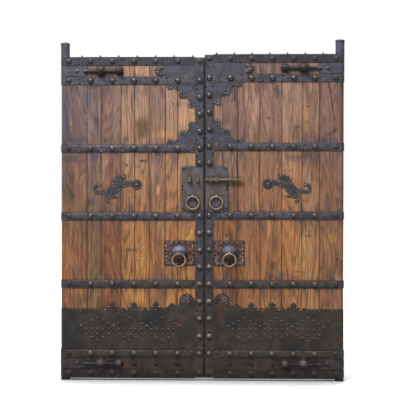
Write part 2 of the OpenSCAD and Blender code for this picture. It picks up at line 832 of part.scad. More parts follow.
// Nails in the outer straps and beside the pivot posts are beaten flatter than the others
module dome_nails(side) {
    flat_rise = nail_rise * 0.55;
    color(IRON) {
        for (i = [0 : strap_count - 1], n = [0 : nail_count - 2])
            dome_nail(
                nail_x(side, n), strap_y - (i == 0 ? kick_t : 0), strap_z(side)[i],
                n == 0 ? flat_rise : nail_rise);
        for (n = [0 : nail_count - 2]) {
            dome_nail(nail_x(side, n), strap_y, leaf_h[side] - strap_h / 2, flat_rise);
            dome_nail(nail_x(side, n), strap_y - kick_t, strap_h / 2, flat_rise);
        }
        for (z = edge_nail_z(side))
            dome_nail(edge_nail_x(side), strap_y, z, nail_rise);
        for (z = [strap_h / 2, leaf_h[side] - strap_h / 2])
            dome_nail(edge_nail_x(side), strap_y, z, flat_rise);
    }
}

// Lozenges of studs on the kick plate, each row given by its height and half its width,
// both as shares of the lozenge, and its number of studs
lozenge_count = 3;
lozenge_rows = [
    [1, 0, 1], [0.74, 0.5, 2], [0.48, 1, 2], [0, 1, 5], [-0.48, 1, 3], [-0.74, 0.5, 2], [-1, 0, 1]];

module lozenge_studs(x, z) {
    for (row = lozenge_rows, i = [0 : row[2] - 1]) {
        across = row[2] == 1 ? 0 : 2 * i / (row[2] - 1) - 1;
        seated(x + across * row[1] * lozenge_r, kick_y, z + row[0] * lozenge_r)
            dome(stud_d, stud_rise);
    }
}

// Nail that stands up from the cap of the top strap
module top_nail(side, x) {
    shank_d = 9;
    shank_h = 8;
    head_d = 14;
    head_h = 5;
    translate([x, strap_y + plank_t / 2, leaf_h[side] + strap_t]) {
        cylinder(d = shank_d, h = shank_h);
        translate([0, 0, shank_h]) dome(head_d, head_h);
    }
}

module small_nails(side) {
    pitch = nail_pitch(side) * 1.5;
    z = (kick_strap_z + strap_h / 2 + kick_h) / 2;
    top_count = 7;
    top_x = 110;
    top_pitch = (inner_x(side) - top_x - 20) / (top_count - 1);
    color(IRON) {
        for (i = [0 : lozenge_count - 1])
            lozenge_studs(pitch * (i + 1), z);
        for (i = [0 : lozenge_count])
            seated(pitch * (i + 0.5), kick_y, z + lozenge_r / 4) dome(stud_d * 1.3, stud_rise);
        for (i = [1 : cloud_count])
            seated(nail_x(side, i + 2), kick_y, lower_band_z) dome(nail_d * 0.7, nail_rise * 0.7);
        for (i = [0 : top_count - 1])
            top_nail(side, top_x + i * top_pitch);
    }
}

// Pivots

shoe_tang_d = 20;
shoe_tang_h = 60;
shoe_d = socket_d - 4;

module post_sleeve(side) {
    nub = 9;
    bevel = 3;
    color(IRON) translate([0, 0, leaf_h[side]]) {
        difference() {
            union() {
                cylinder(r = sleeve_r, h = post_h - bevel);
                translate([0, 0, post_h - bevel - lip_h]) cylinder(r = sleeve_r + lip_out, h = lip_h);
                translate([0, 0, post_h - bevel])
                    cylinder(r1 = sleeve_r + lip_out, r2 = sleeve_r + lip_out - bevel, h = bevel);
            }
            translate([0, 0, -1]) cylinder(r = stile_r + loose_fit, h = post_h - sleeve_t + 1);
        }
        if (side == LEFT)
            translate([0, 0, post_h]) cylinder(d1 = nub, d2 = nub / 3, h = nub * 1.3);
    }
}

module pivot_shoe(side) {
    collar_h = floor_gap - socket_h - thrust_fit;
    color(IRON_DARK) {
        translate([0, 0, -collar_h]) cylinder(d = shoe_d, h = collar_h);
        translate([0, 0, -collar_h - thrust_fit - pin_len + thrust_fit])
            cylinder(d = pin_d, h = pin_len + thrust_fit);
        cylinder(d = shoe_tang_d, h = shoe_tang_h);
    }
}

module pivot_socket(side) {
    color(IRON_DARK) translate([0, 0, -floor_gap]) difference() {
        cylinder(d = socket_d, h = socket_h);
        translate([0, 0, socket_h - pin_len - thrust_fit])
            cylinder(d = pin_d + 2 * run_fit, h = pin_len + thrust_fit + 1);
    }
}

for (side = [LEFT, RIGHT]) {
    name = str(SIDES[side], "_");
    at_leaf(side) {
        hinge_stile(side);
        for (n = [1 : plank_count(side)])
            plank(side, n);
        meeting_stile(side);
        back_battens(side);
        top_strap(side);
        cross_straps(side);
        bottom_strap(side);
        edge_strap(side);
        corner_plates(side);
        kick_plate(side);
        hinge_bands(side);
        band_bosses(side);
        lock_plate(side);
        bolt_staples(side);
        ring_eyes(side);
        pull_ring(side);
        knocker_plate(side);
        knocker_dome(side);
        knocker_ring(side);
        figure_plate(side);
        dome_nails(side);
        small_nails(side);
        post_sleeve(side);
        pivot_shoe(side);
        pivot_socket(side);
    }
}
at_leaf(RIGHT)
    bolt();
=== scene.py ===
"""Looks of a pair of strapped plank gate leaves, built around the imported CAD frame.

Lengths are metres in the frame of the CAD model: +X to the viewer's right, +Y to the back, +Z up.
"""
import math

import bmesh
import bpy
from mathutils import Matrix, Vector


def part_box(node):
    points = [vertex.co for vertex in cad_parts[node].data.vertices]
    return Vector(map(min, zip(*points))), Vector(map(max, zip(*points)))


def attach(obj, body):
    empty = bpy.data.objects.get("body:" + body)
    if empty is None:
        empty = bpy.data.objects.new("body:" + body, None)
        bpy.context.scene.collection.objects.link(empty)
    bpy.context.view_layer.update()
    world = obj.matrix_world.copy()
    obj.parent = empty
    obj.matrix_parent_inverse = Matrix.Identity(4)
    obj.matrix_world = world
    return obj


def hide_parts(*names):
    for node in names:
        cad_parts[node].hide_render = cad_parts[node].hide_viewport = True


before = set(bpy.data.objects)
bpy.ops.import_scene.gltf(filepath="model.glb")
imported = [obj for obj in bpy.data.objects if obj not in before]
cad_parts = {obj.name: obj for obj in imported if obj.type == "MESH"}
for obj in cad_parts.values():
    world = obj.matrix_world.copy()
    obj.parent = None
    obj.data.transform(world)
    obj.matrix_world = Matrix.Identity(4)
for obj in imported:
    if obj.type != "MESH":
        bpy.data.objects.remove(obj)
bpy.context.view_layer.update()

SIDES = ("left", "right")
PLANKS = {"left": 6, "right": 5}

# Sizes shared with the CAD model
STRAP_H = 0.050
EDGE_STRAP_W = 0.055
KICK_STRAP_Z = 0.155
LOW_STRAP_Z = 0.608
UPPER_GAP = 0.075
FIRST_NAIL = 0.026
NAILS = 7
NAIL_R, NAIL_RISE, FLAT_RISE = 0.019, 0.0155, 0.0085
SHEET_T = 0.0025
KICK_H = 0.448
CORNER_W, CORNER_H = 0.195, 0.162
FLOWER_D = 0.072
FIGURE_U, FIGURE_RISE = 0.338, 0.176
HEAD_U, HEAD_Z, HEAD_R = 0.129, 0.030, 0.033
LOCK_W = 0.146
KNOCKER_W, KNOCKER_H, KNOCKER_T = 0.200, 0.164, 0.003
KNOCKER_INSET, KNOCKER_RISE = 0.004, 0.201
# Knobs of a hinge band: distance from the pivot axis, diameter, lift
BOSSES = ((0.236, 0.072, 0.004), (0.355, 0.062, 0.0))
BOSS_RISE, BOSS_WASHER = 0.040, 0.004


class Leaf:
    """Places on one leaf: u from the pivot axis to the meeting edge, z up from the boards' foot."""

    def __init__(self, side):
        low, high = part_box(f"{side}_pivot_socket")
        edge_low, edge_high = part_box(f"{side}_edge_strap")
        self.side = side
        self.body = f"{side}_leaf"
        self.sense = 1 if side == "left" else -1
        self.axis_x = (low.x + high.x) / 2
        self.base_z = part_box(f"{side}_hinge_stile")[0].z
        self.width = abs((edge_high if side == "left" else edge_low).x - self.axis_x)
        self.height = edge_high.z - edge_low.z
        self.board_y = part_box(f"{side}_corner_plates")[1].y
        self.sheet_y = self.board_y - SHEET_T
        self.strap_y = edge_low.y
        self.kick_strap_y = self.strap_y - SHEET_T
        upper = self.height - 1.5 * STRAP_H - UPPER_GAP
        pitch = (upper - LOW_STRAP_Z) / 3
        self.straps = [KICK_STRAP_Z] + [LOW_STRAP_Z + i * pitch for i in range(4)]
        self.band_z = self.height - STRAP_H - UPPER_GAP / 2
        self.inner = self.width - EDGE_STRAP_W
        self.edge_nail = self.width - EDGE_STRAP_W / 2
        self.nail_pitch = (self.edge_nail - FIRST_NAIL) / (NAILS - 1)
        self.figure = FIGURE_U, self.straps[2] + FIGURE_RISE
        self.knocker = self.inner - KNOCKER_INSET - KNOCKER_W / 2, LOW_STRAP_Z + KNOCKER_RISE

    def nail(self, i):
        return FIRST_NAIL + i * self.nail_pitch

    def at(self, u, y, z):
        return Vector((self.axis_x + self.sense * u, y, self.base_z + z))


LEAVES = [Leaf(side) for side in SIDES]


def srgb(red, green, blue):
    """Linear colour of an 8-bit display colour."""
    def linear(channel):
        c = channel / 255
        return c / 12.92 if c <= 0.04045 else ((c + 0.055) / 1.055) ** 2.4
    return (linear(red), linear(green), linear(blue), 1.0)


class Graph:
    """Nodes of a material or of the world. Most methods add one node and return its output."""

    def __init__(self, owner):
        owner.use_nodes = True
        self.owner = owner
        self.tree = owner.node_tree
        self.tree.nodes.clear()
        coordinates = self.tree.nodes.new("ShaderNodeTexCoord")
        self.place = coordinates.outputs["Object"]
        self.share = coordinates.outputs["Generated"]

    def add(self, kind, inputs=(), **settings):
        node = self.tree.nodes.new(kind)
        for key, value in settings.items():
            setattr(node, key, value)
        for key, value in dict(inputs).items():
            if isinstance(value, bpy.types.NodeSocket):
                self.tree.links.new(value, node.inputs[key])
            else:
                node.inputs[key].default_value = value
        return node

    def stretched(self, vector, scale, offset=(0, 0, 0)):
        return self.add("ShaderNodeMapping", {
            "Vector": vector, "Scale": scale, "Location": offset}).outputs[0]

    def noise(self, vector, scale=1.0, detail=3.0, rough=0.5, twist=0.0):
        return self.add("ShaderNodeTexNoise", {
            "Vector": vector, "Scale": scale, "Detail": detail, "Roughness": rough,
            "Distortion": twist}).outputs["Fac"]

    def cells(self, vector):
        return self.add("ShaderNodeTexVoronoi", {
            "Vector": vector, "Scale": 1.0}).outputs["Distance"]

    def math(self, operation, a, b=0.0):
        return self.add("ShaderNodeMath", {0: a, 1: b}, operation=operation).outputs[0]

    def times(self, a, b):
        return self.math("MULTIPLY", a, b)

    def plus(self, a, b):
        return self.math("ADD", a, b)

    def minus(self, a, b):
        return self.math("SUBTRACT", a, b)

    def size(self, value):
        return self.math("ABSOLUTE", value)

    def ranged(self, value, low, high, start=0.0, end=1.0):
        return self.add("ShaderNodeMapRange", {
            "Value": value, "From Min": low, "From Max": high, "To Min": start, "To Max": end},
            interpolation_type="SMOOTHSTEP").outputs[0]

    def mix(self, amount, a, b, blend="MIX"):
        return self.add("ShaderNodeMix", {0: amount, 6: a, 7: b}, data_type="RGBA",
                        blend_type=blend).outputs[2]

    def axis(self, vector, name):
        return self.add("ShaderNodeSeparateXYZ", {0: vector}).outputs[name]

    def length(self, vector):
        return self.add("ShaderNodeVectorMath", {0: vector}, operation="LENGTH").outputs["Value"]

    def normal(self):
        return self.add("ShaderNodeNewGeometry").outputs["Normal"]

    def bump(self, height, depth, strength):
        return self.add("ShaderNodeBump", {
            "Height": height, "Distance": depth, "Strength": strength}).outputs[0]

    def edge_wear(self, radius):
        """1 where the surface turns sharply within the radius, 0 on flat stretches."""
        rounded = self.add("ShaderNodeBevel", {"Radius": radius}, samples=4).outputs[0]
        dot = self.add("ShaderNodeVectorMath", {0: rounded, 1: self.normal()},
                       operation="DOT_PRODUCT").outputs["Value"]
        return self.ranged(dot, 0.99, 0.8)

    def hollow(self, reach):
        """1 in the open, falling to 0 in corners and gaps narrower than the reach."""
        return self.add("ShaderNodeAmbientOcclusion", {"Distance": reach}, samples=6).outputs["AO"]

    def seen(self):
        """1 for what the camera, a reflection or glass shows, 0 for the light on the object."""
        rays = self.add("ShaderNodeLightPath").outputs
        shown = self.math("MAXIMUM", rays["Is Camera Ray"], rays["Is Glossy Ray"])
        return self.math("MAXIMUM", shown, rays["Is Transmission Ray"])

    def end(self, shader, kind="ShaderNodeOutputMaterial"):
        self.tree.links.new(shader, self.add(kind).inputs[0])
        return self.owner

    def finish(self, **inputs):
        return self.end(self.add("ShaderNodeBsdfPrincipled", {
            key.replace("_", " "): value for key, value in inputs.items()}).outputs[0])


# Timber: each tone is a greyer colour for the upper half, whose bluish cast paints the sheen of
# skylight, and a warmer one for the lower half

TONES = {
    "mauve": (srgb(108, 87, 84), srgb(148, 99, 63)),
    "slate": (srgb(126, 101, 95), srgb(124, 93, 66)),
    "tan": (srgb(158, 122, 101), srgb(176, 120, 73)),
    "sand": (srgb(174, 136, 106), srgb(186, 130, 78)),
    "brown": (srgb(138, 104, 89), srgb(156, 105, 68)),
    "walnut": (srgb(124, 94, 84), srgb(124, 79, 53)),
    "rust": (srgb(146, 108, 90), srgb(178, 128, 87)),
    "plum": (srgb(130, 94, 82), srgb(148, 102, 72)),
}
PALE_LOW, PALE_HIGH = srgb(196, 140, 82), srgb(188, 146, 116)
DULL, BLEACHED = srgb(104, 72, 56), srgb(190, 152, 118)
RUN_OFF, SPOT = srgb(62, 56, 62), srgb(70, 54, 50)
SOOT_LOW, SOOT_HIGH = srgb(84, 64, 52), srgb(74, 68, 72)
SEAM_DIRT, TIMBER_SHADE_AND_GRIME = srgb(66, 48, 42), srgb(44, 33, 30)
KNOT, CHECK, OPEN_SPLIT = srgb(62, 40, 32), srgb(44, 31, 27), srgb(38, 28, 25)
RINGS = 24.0


def wood(name, tone, seed, stain=0.75, soot=0.0, marks=(), split=None, bare=0):
    """Old plank: contour rings of a long noise field, fibre, knots, strap stains and weathering.

    marks are rows of STAINS; bare is -1 or 1 where the left or right edge meets no other board.
    """
    g = Graph(bpy.data.materials.new(name))
    upper, lower = TONES[tone]
    own = g.stretched(g.place, (1, 1, 1), (seed * 3.7, seed * 1.9, seed * 5.3))
    height = g.axis(g.place, "Z")

    # Rings bend round knots
    knot = g.cells(g.stretched(own, (6.5, 6.5, 3.2)))
    field = g.noise(g.stretched(own, (5.0, 5.0, 0.8)), detail=2.0, rough=0.4)
    field = g.plus(field, g.times(g.ranged(knot, 0.24, 0.0), 0.13))
    field = g.plus(field, g.times(g.noise(g.stretched(own, (34, 34, 4)), detail=2.0), 0.014))
    saw = g.math("FRACT", g.times(field, RINGS))
    late = g.times(g.ranged(saw, 0.3, 0.9), g.ranged(saw, 1.0, 0.92))
    fibre = g.noise(g.stretched(own, (300, 300, 7)), detail=3.0, rough=0.6)
    streak = g.noise(g.stretched(own, (62, 62, 1.6)), detail=3.0, rough=0.65)
    fleck = g.noise(g.stretched(own, (105, 105, 12)), detail=3.0, rough=0.7)
    grain = g.plus(g.times(late, 0.23), g.times(g.ranged(streak, 0.34, 0.7), 0.28))
    grain = g.plus(grain, g.times(g.ranged(fibre, 0.3, 0.7), 0.26))
    grain = g.plus(grain, g.times(g.ranged(fleck, 0.38, 0.62), 0.2))

    # The lower colour blended into the upper one with its painted skylight sheen, weathering in
    # patches, then the stains of this board and any painted shade of the gap, then the grain over
    # both
    patch = g.noise(g.stretched(own, (9, 9, 4.0)), detail=5.0, rough=0.62)
    bleach = g.noise(g.stretched(own, (14, 14, 1.6)), detail=5.0, rough=0.6)
    drift = g.plus(height, g.times(g.minus(bleach, 0.5), 1.1))
    colour = g.mix(g.ranged(drift, 0.85, 1.75), lower, upper)
    pale = g.mix(g.ranged(height, 0.9, 1.5), PALE_LOW, PALE_HIGH)
    colour = g.mix(g.times(g.ranged(patch, 0.54, 0.72), 0.6), colour, pale)
    colour = g.mix(g.times(g.ranged(patch, 0.45, 0.28), 0.62), colour, DULL)
    colour = g.mix(g.times(g.ranged(bleach, 0.58, 0.74), 0.45), colour, BLEACHED)
    runs = g.noise(g.stretched(own, (15, 15, 3.6)), detail=5.0, rough=0.7)
    for x, z, wide, tall, tint, strength in marks:
        span = g.stretched(g.place, (1 / wide, 0, 1 / tall), (-x / wide, 0, -z / tall))
        away = g.plus(g.length(span), g.times(g.minus(runs, 0.5), 1.6))
        colour = g.mix(g.times(g.ranged(away, 1.25, 0.35), strength), colour, tint)
    depth = g.math("POWER", g.ranged(grain, 0.0, 1.0, 1.4, 0.44),
                   g.ranged(height, 0.7, 1.3, 1.4, 1.1))
    colour = g.mix(1.0, colour, depth, "MULTIPLY")

    # Dark run-off beside the straps, dirt along the seams, knots and short checks
    straps = g.math("PINGPONG", g.minus(height, LEAVES[0].base_z + LOW_STRAP_Z),
                    (LEAVES[0].straps[2] - LEAVES[0].straps[1]) / 2)
    near = g.times(g.ranged(straps, 0.17, 0.025), g.ranged(runs, 0.46, 0.66))
    colour = g.mix(g.times(near, stain), colour, RUN_OFF)
    spots = g.noise(g.stretched(own, (26, 26, 9)), detail=4.0, rough=0.7)
    colour = g.mix(g.times(g.ranged(spots, 0.62, 0.76), stain), colour, SPOT)
    smoke = g.noise(g.stretched(own, (24, 24, 2.2)), detail=5.0, rough=0.65)
    smoke = g.times(g.ranged(smoke, 0.5, 0.66), g.ranged(height, 0.7, 1.3, 0.35, 1.0))
    colour = g.mix(g.times(smoke, soot), colour,
                   g.mix(g.ranged(height, 0.9, 1.4), SOOT_LOW, SOOT_HIGH))
    across = g.minus(g.axis(g.share, "X"), 0.5)
    across = g.times(across, -bare) if bare else g.size(across)
    seam = g.times(g.ranged(across, 0.43, 0.5), g.ranged(streak, 0.25, 0.6))
    colour = g.mix(g.times(seam, 0.42), colour, SEAM_DIRT)
    colour = g.mix(g.times(g.ranged(knot, 0.07, 0.03), 0.8), colour, KNOT)
    crack = g.ranged(g.noise(g.stretched(own, (130, 130, 2.4)), detail=1.0), 0.72, 0.77)
    colour = g.mix(g.times(crack, 0.75), colour, CHECK)
    if split:
        x, z, lean, low, high = split
        wander = g.times(g.minus(g.noise(g.stretched(own, (0, 0, 9))), 0.5), 0.014)
        wander = g.plus(wander, g.times(g.minus(height, z), lean))
        off = g.size(g.minus(g.plus(g.axis(g.place, "X"), wander), x))
        line = g.times(g.ranged(off, 0.0055, 0.002), g.ranged(height, low, high))
        colour = g.mix(g.times(line, 0.85), colour, OPEN_SPLIT)
        crack = g.math("MAXIMUM", crack, line)
    # Corners and narrow gaps darkened by ambient occlusion: painted shade, with some grime
    hollow_darkening = g.ranged(g.hollow(0.03), 0.97, 0.6)
    colour = g.mix(g.times(hollow_darkening, 0.65), colour, TIMBER_SHADE_AND_GRIME)

    relief = g.minus(g.plus(g.times(fibre, 0.4), g.times(late, 0.35)), crack)
    return g.finish(Base_Color=colour, Roughness=g.ranged(grain, 0, 1, 0.6, 0.82),
                    Normal=g.bump(relief, 0.0016, 0.8))


# Iron and bronze

GAP_X = sum(leaf.axis_x + leaf.sense * leaf.width for leaf in LEAVES) / 2
ROD_FROM, ROD_TO = 0.752, 0.738
FOOT_DIRT = (srgb(35, 29, 26), srgb(76, 58, 47))
SPECKS = (srgb(108, 104, 112), srgb(102, 82, 70))
PIT, IRON_SHADE_AND_GRIME, GAP_SHADE_IRON = srgb(26, 23, 25), srgb(22, 20, 20), srgb(16, 14, 14)
WORN_EDGE, UPWARD_HIGHLIGHT = srgb(142, 134, 132), srgb(140, 134, 132)
TARNISH, BRONZE_GRIME = srgb(80, 63, 48), srgb(40, 32, 24)


def iron(name, base, rust=0.2, metallic=0.12, rough=0.48, wear=0.3, brown=0.8,
         rust_tone=srgb(104, 70, 52), reach=0.025, shade_and_dirt=0.85, under=(0.1, -0.65), rods=None,
         paint_gap_shade=False, dark_ends=False, tints=(), foot_tone=None, gloss=0.35, specks=0.0,
         shade=srgb(20, 17, 16)):
    """Forged iron: mottled scale, rubbed edges, rust that grows to the foot, and painted light: a
    highlight on slopes that face up, shade on undersides, shade with some grime in hollows.

    tints are clouds of another colour as (colour, scale, low, high, strength); specks are rust
    spots and pits; under gives the slopes between which the underside turns to painted shade; rods
    colours the rods of a hinge band; the meeting edge can be blackened as painted shade of the gap
    between the leaves; dark_ends the top and foot rows; foot_tone takes over near the ground.
    """
    g = Graph(bpy.data.materials.new(name))
    height = g.axis(g.place, "Z")
    foot = g.ranged(height, 1.15, 0.35)
    blotch = g.noise(g.place, 17, 5.0, 0.62)
    cloud = g.noise(g.place, 6.0, 5.0, 0.62, 0.3)
    grain = g.noise(g.place, 140, 3.0, 0.65)
    pale = tuple(min(1.0, c * 1.45) for c in base[:3]) + (1.0,)
    deep = tuple(c * 0.5 for c in base[:3]) + (1.0,)
    colour = g.mix(g.ranged(g.plus(blotch, g.times(grain, 0.3)), 0.42, 0.86), deep, pale)
    colour = g.mix(g.times(foot, brown), colour, g.mix(g.ranged(blotch, 0.35, 0.7), *FOOT_DIRT))
    bloom = g.plus(g.plus(cloud, g.times(grain, 0.2)), g.times(foot, 0.1))
    edge = 0.86 - 0.4 * rust
    rusted = g.ranged(bloom, edge, edge + 0.2)
    colour = g.mix(g.times(rusted, 0.75), colour, rust_tone)
    if foot_tone:
        worn = g.mix(g.ranged(blotch, 0.35, 0.65), foot_tone, colour)
        colour = g.mix(g.ranged(height, 0.5, 0.3), colour, worn)
    for tint, scale, low, high, strength in tints:
        shown = g.ranged(foot, 0.0, 1.0, strength, strength * (1 - 0.8 * brown))
        clouded = g.ranged(g.noise(g.place, scale, 5.0, 0.65), low, high)
        colour = g.mix(g.times(clouded, shown), colour, tint)
    if specks:
        speck = g.ranged(g.noise(g.place, 84.0, 3.0, 0.7, 0.4), 0.54, 0.68)
        colour = g.mix(g.times(speck, specks), colour, g.mix(foot, *SPECKS))
        pit = g.ranged(g.noise(g.place, 66.0, 3.0, 0.7, 0.2), 0.46, 0.35)
        colour = g.mix(g.times(pit, specks), colour, PIT)
    rubbed = g.times(g.edge_wear(0.003), g.ranged(blotch, 0.35, 0.6))
    colour = g.mix(g.times(rubbed, wear), colour, WORN_EDGE)
    # Painted light from above: slopes that face up are lightened as a highlight, undersides
    # darkened as shade
    facing = g.axis(g.normal(), "Z")
    colour = g.mix(g.times(g.ranged(facing, 0.25, 0.95), 0.22), colour, UPWARD_HIGHLIGHT)
    colour = g.mix(g.times(g.ranged(facing, *under), 0.88), colour, shade)
    if rods:
        out = g.size(g.axis(g.place, "X"))
        colour = g.mix(g.ranged(out, ROD_FROM, ROD_TO), colour, rods)
    # The meeting edge blackened: painted shade of the gap between the leaves
    if paint_gap_shade:
        off = g.size(g.minus(g.axis(g.place, "X"), GAP_X))
        colour = g.mix(g.times(g.ranged(off, 0.0105, 0.0065), 0.9), colour, GAP_SHADE_IRON)
    if dark_ends:
        ends = g.math("MAXIMUM", g.ranged(height, 1.9, 1.95), g.ranged(height, 0.135, 0.125))
        colour = g.mix(ends, colour, IRON_SHADE_AND_GRIME)
    # Hollows within reach darkened by ambient occlusion: painted shade, with some grime
    hollow_darkening = g.ranged(g.hollow(reach), 0.95, 0.58)
    colour = g.mix(g.times(hollow_darkening, shade_and_dirt), colour, IRON_SHADE_AND_GRIME)
    relief = g.plus(g.times(blotch, 0.8), g.times(grain, 0.45))
    return g.finish(Base_Color=colour, Metallic=g.times(g.minus(1.0, rusted), metallic),
                    Roughness=g.ranged(bloom, 0.3, 1.0, rough - 0.1, rough + 0.25),
                    Specular_IOR_Level=gloss, Normal=g.bump(relief, 0.0022, 0.7))


def bronze(name, base):
    """Handled bronze: bright where it is rubbed, brown in the hollows."""
    g = Graph(bpy.data.materials.new(name))
    tarnish = g.noise(g.place, 38, 4.0, 0.6)
    grain = g.noise(g.place, 220, 2.0)
    colour = g.mix(g.ranged(tarnish, 0.4, 0.75), base, TARNISH)
    hollow_darkening = g.ranged(g.hollow(0.012), 0.75, 0.25)
    colour = g.mix(g.times(hollow_darkening, 0.8), colour, BRONZE_GRIME)
    return g.finish(Base_Color=colour, Metallic=0.35,
                    Roughness=g.ranged(tarnish, 0.3, 0.7, 0.32, 0.6),
                    Normal=g.bump(grain, 0.0008, 0.4))


STRAP = iron("strap_iron", srgb(72, 69, 79), rust=0.18, paint_gap_shade=True, specks=0.85,
             shade=srgb(38, 30, 28),
             tints=((srgb(46, 47, 56), 8.0, 0.52, 0.66, 0.7),
                    (srgb(96, 92, 98), 13.0, 0.56, 0.7, 0.5)))
TOP_STRAP = iron("top_strap_iron", srgb(52, 50, 57), rust=0.2, specks=0.4)
FOOT_STRAP = iron("foot_strap_iron", srgb(27, 26, 27), rust=0.34, brown=0.15,
                  rust_tone=srgb(78, 56, 46), specks=0.2,
                  tints=((srgb(15, 15, 17), 7.0, 0.46, 0.6, 0.8),
                         (srgb(86, 60, 47), 10.0, 0.55, 0.66, 0.7)))
PLATE = iron("plate_iron", srgb(70, 69, 80), rust=0.16, specks=0.5,
             tints=((srgb(56, 66, 84), 7.0, 0.52, 0.68, 0.6),
                    (srgb(92, 80, 78), 11.0, 0.53, 0.66, 0.7)))
SHEET = iron("kick_sheet", srgb(53, 51, 46), rust=0.34, rough=0.55, wear=0.4, brown=0.3,
             rust_tone=srgb(80, 60, 50),
             tints=((srgb(28, 31, 36), 3.1, 0.48, 0.6, 0.95),
                    (srgb(96, 68, 52), 5.2, 0.52, 0.66, 0.8),
                    (srgb(78, 74, 66), 9.0, 0.55, 0.68, 0.7)))
BAND = iron("band_iron", srgb(76, 76, 86), rust=0.14, rods=srgb(32, 34, 42),
            foot_tone=srgb(34, 34, 38), specks=0.3)
FIGURE = iron("figure_iron", srgb(70, 65, 67), rust=0.3, specks=0.7)
LOCK = iron("lock_iron", srgb(94, 86, 88), rust=0.3, rough=0.46, brown=0.2, paint_gap_shade=True,
            specks=0.3, tints=((srgb(84, 92, 108), 9.0, 0.52, 0.64, 0.7),
                               (srgb(110, 93, 86), 7.0, 0.52, 0.64, 0.6)))
RUST = iron("rust_sheet", srgb(92, 66, 58), rust=0.55, metallic=0.05, rough=0.65, brown=0.25,
            rust_tone=srgb(108, 66, 54), specks=0.8,
            tints=((srgb(50, 36, 35), 34.0, 0.5, 0.6, 0.8),
                   (srgb(140, 106, 96), 42.0, 0.56, 0.66, 0.7)))
BOSS = iron("boss_iron", srgb(36, 31, 28), rust=0.35, rough=0.38, wear=0.5, brown=0.2,
            rust_tone=srgb(104, 78, 70), reach=0.01, foot_tone=srgb(104, 87, 84))
DOME = iron("dome_iron", srgb(94, 103, 124), rust=0.12, rough=0.46, wear=0.0, brown=0.0,
            reach=0.006, shade_and_dirt=0.6, under=(0.6, -0.05), shade=srgb(70, 55, 48))

# What the nails, tacks and raised lines have in common
SMALL = {"brown": 0.0, "wear": 0.0, "reach": 0.004, "shade_and_dirt": 0.25}
NAIL = iron("nail_iron", srgb(74, 61, 56), rust=0.2, metallic=0.3, rough=0.3,
            under=(0.34, -0.38), gloss=0.7, **SMALL)
RUBBED = iron("rubbed_nail", srgb(108, 95, 88), rust=0.2, metallic=0.3, rough=0.36,
              under=(0.32, -0.5), gloss=0.65, **SMALL)
RUSTY = iron("rusty_nail", srgb(48, 40, 38), rust=0.35, rough=0.5, under=(0.3, -0.5),
             rust_tone=srgb(76, 54, 45), **SMALL)
FLAT_NAIL = iron("flat_nail", srgb(58, 52, 53), rust=0.3, rough=0.5, under=(0.2, -0.6),
                 rust_tone=srgb(74, 60, 55), **SMALL)
STUD = iron("stud_iron", srgb(84, 71, 64), rust=0.36, metallic=0.25, rough=0.36,
            under=(0.5, -0.4), rust_tone=srgb(76, 58, 50), dark_ends=True, gloss=0.5, **SMALL)
TACK = iron("tack_iron", srgb(158, 145, 134), rust=0.1, metallic=0.2, rough=0.34, gloss=0.7,
            **SMALL)
DARK_TACK = iron("dark_tack", srgb(40, 34, 33), rust=0.3, metallic=0.2, rough=0.4, **SMALL)
RIB = iron("rib_iron", srgb(136, 126, 124), rust=0.1, metallic=0.15, rough=0.42, **SMALL)
BOSS_RIB = iron("boss_rib", srgb(84, 71, 56), rust=0.3, metallic=0.2, rough=0.4,
                under=(0.3, -0.6), foot_tone=srgb(92, 76, 74), **SMALL)
RUST_LINE = iron("rust_line", srgb(150, 116, 102), rust=0.4, metallic=0.15, rough=0.5, **SMALL)
BRONZE = bronze("bronze", srgb(158, 133, 110))
BOLT_BRONZE = bronze("bolt_bronze", srgb(110, 95, 79))

FINISH = {
    "top_strap": TOP_STRAP, "cross_straps": STRAP, "bottom_strap": FOOT_STRAP,
    "edge_strap": STRAP, "corner_plates": PLATE, "kick_plate": SHEET, "hinge_bands": BAND,
    "band_bosses": BOSS, "lock_plate": LOCK, "bolt_staples": BOLT_BRONZE, "ring_eyes": BRONZE,
    "pull_ring": BRONZE, "knocker_plate": RUST, "knocker_dome": DOME, "knocker_ring": BRONZE,
    "figure_plate": FIGURE, "dome_nails": NAIL, "small_nails": STUD, "post_sleeve": BAND,
    "pivot_shoe": FOOT_STRAP, "pivot_socket": FOOT_STRAP,
}
BEVELLED = ("top_strap", "cross_straps", "bottom_strap", "edge_strap", "corner_plates",
            "kick_plate", "hinge_bands", "lock_plate", "knocker_plate", "figure_plate",
            "post_sleeve")
ARRIS = 0.0016
BOARD_TONES = {
    "left": ("mauve", "slate", "walnut", "tan", "tan", "brown", "tan", "sand"),
    "right": ("plum", "rust", "tan", "brown", "brown", "walnut", "brown"),
}
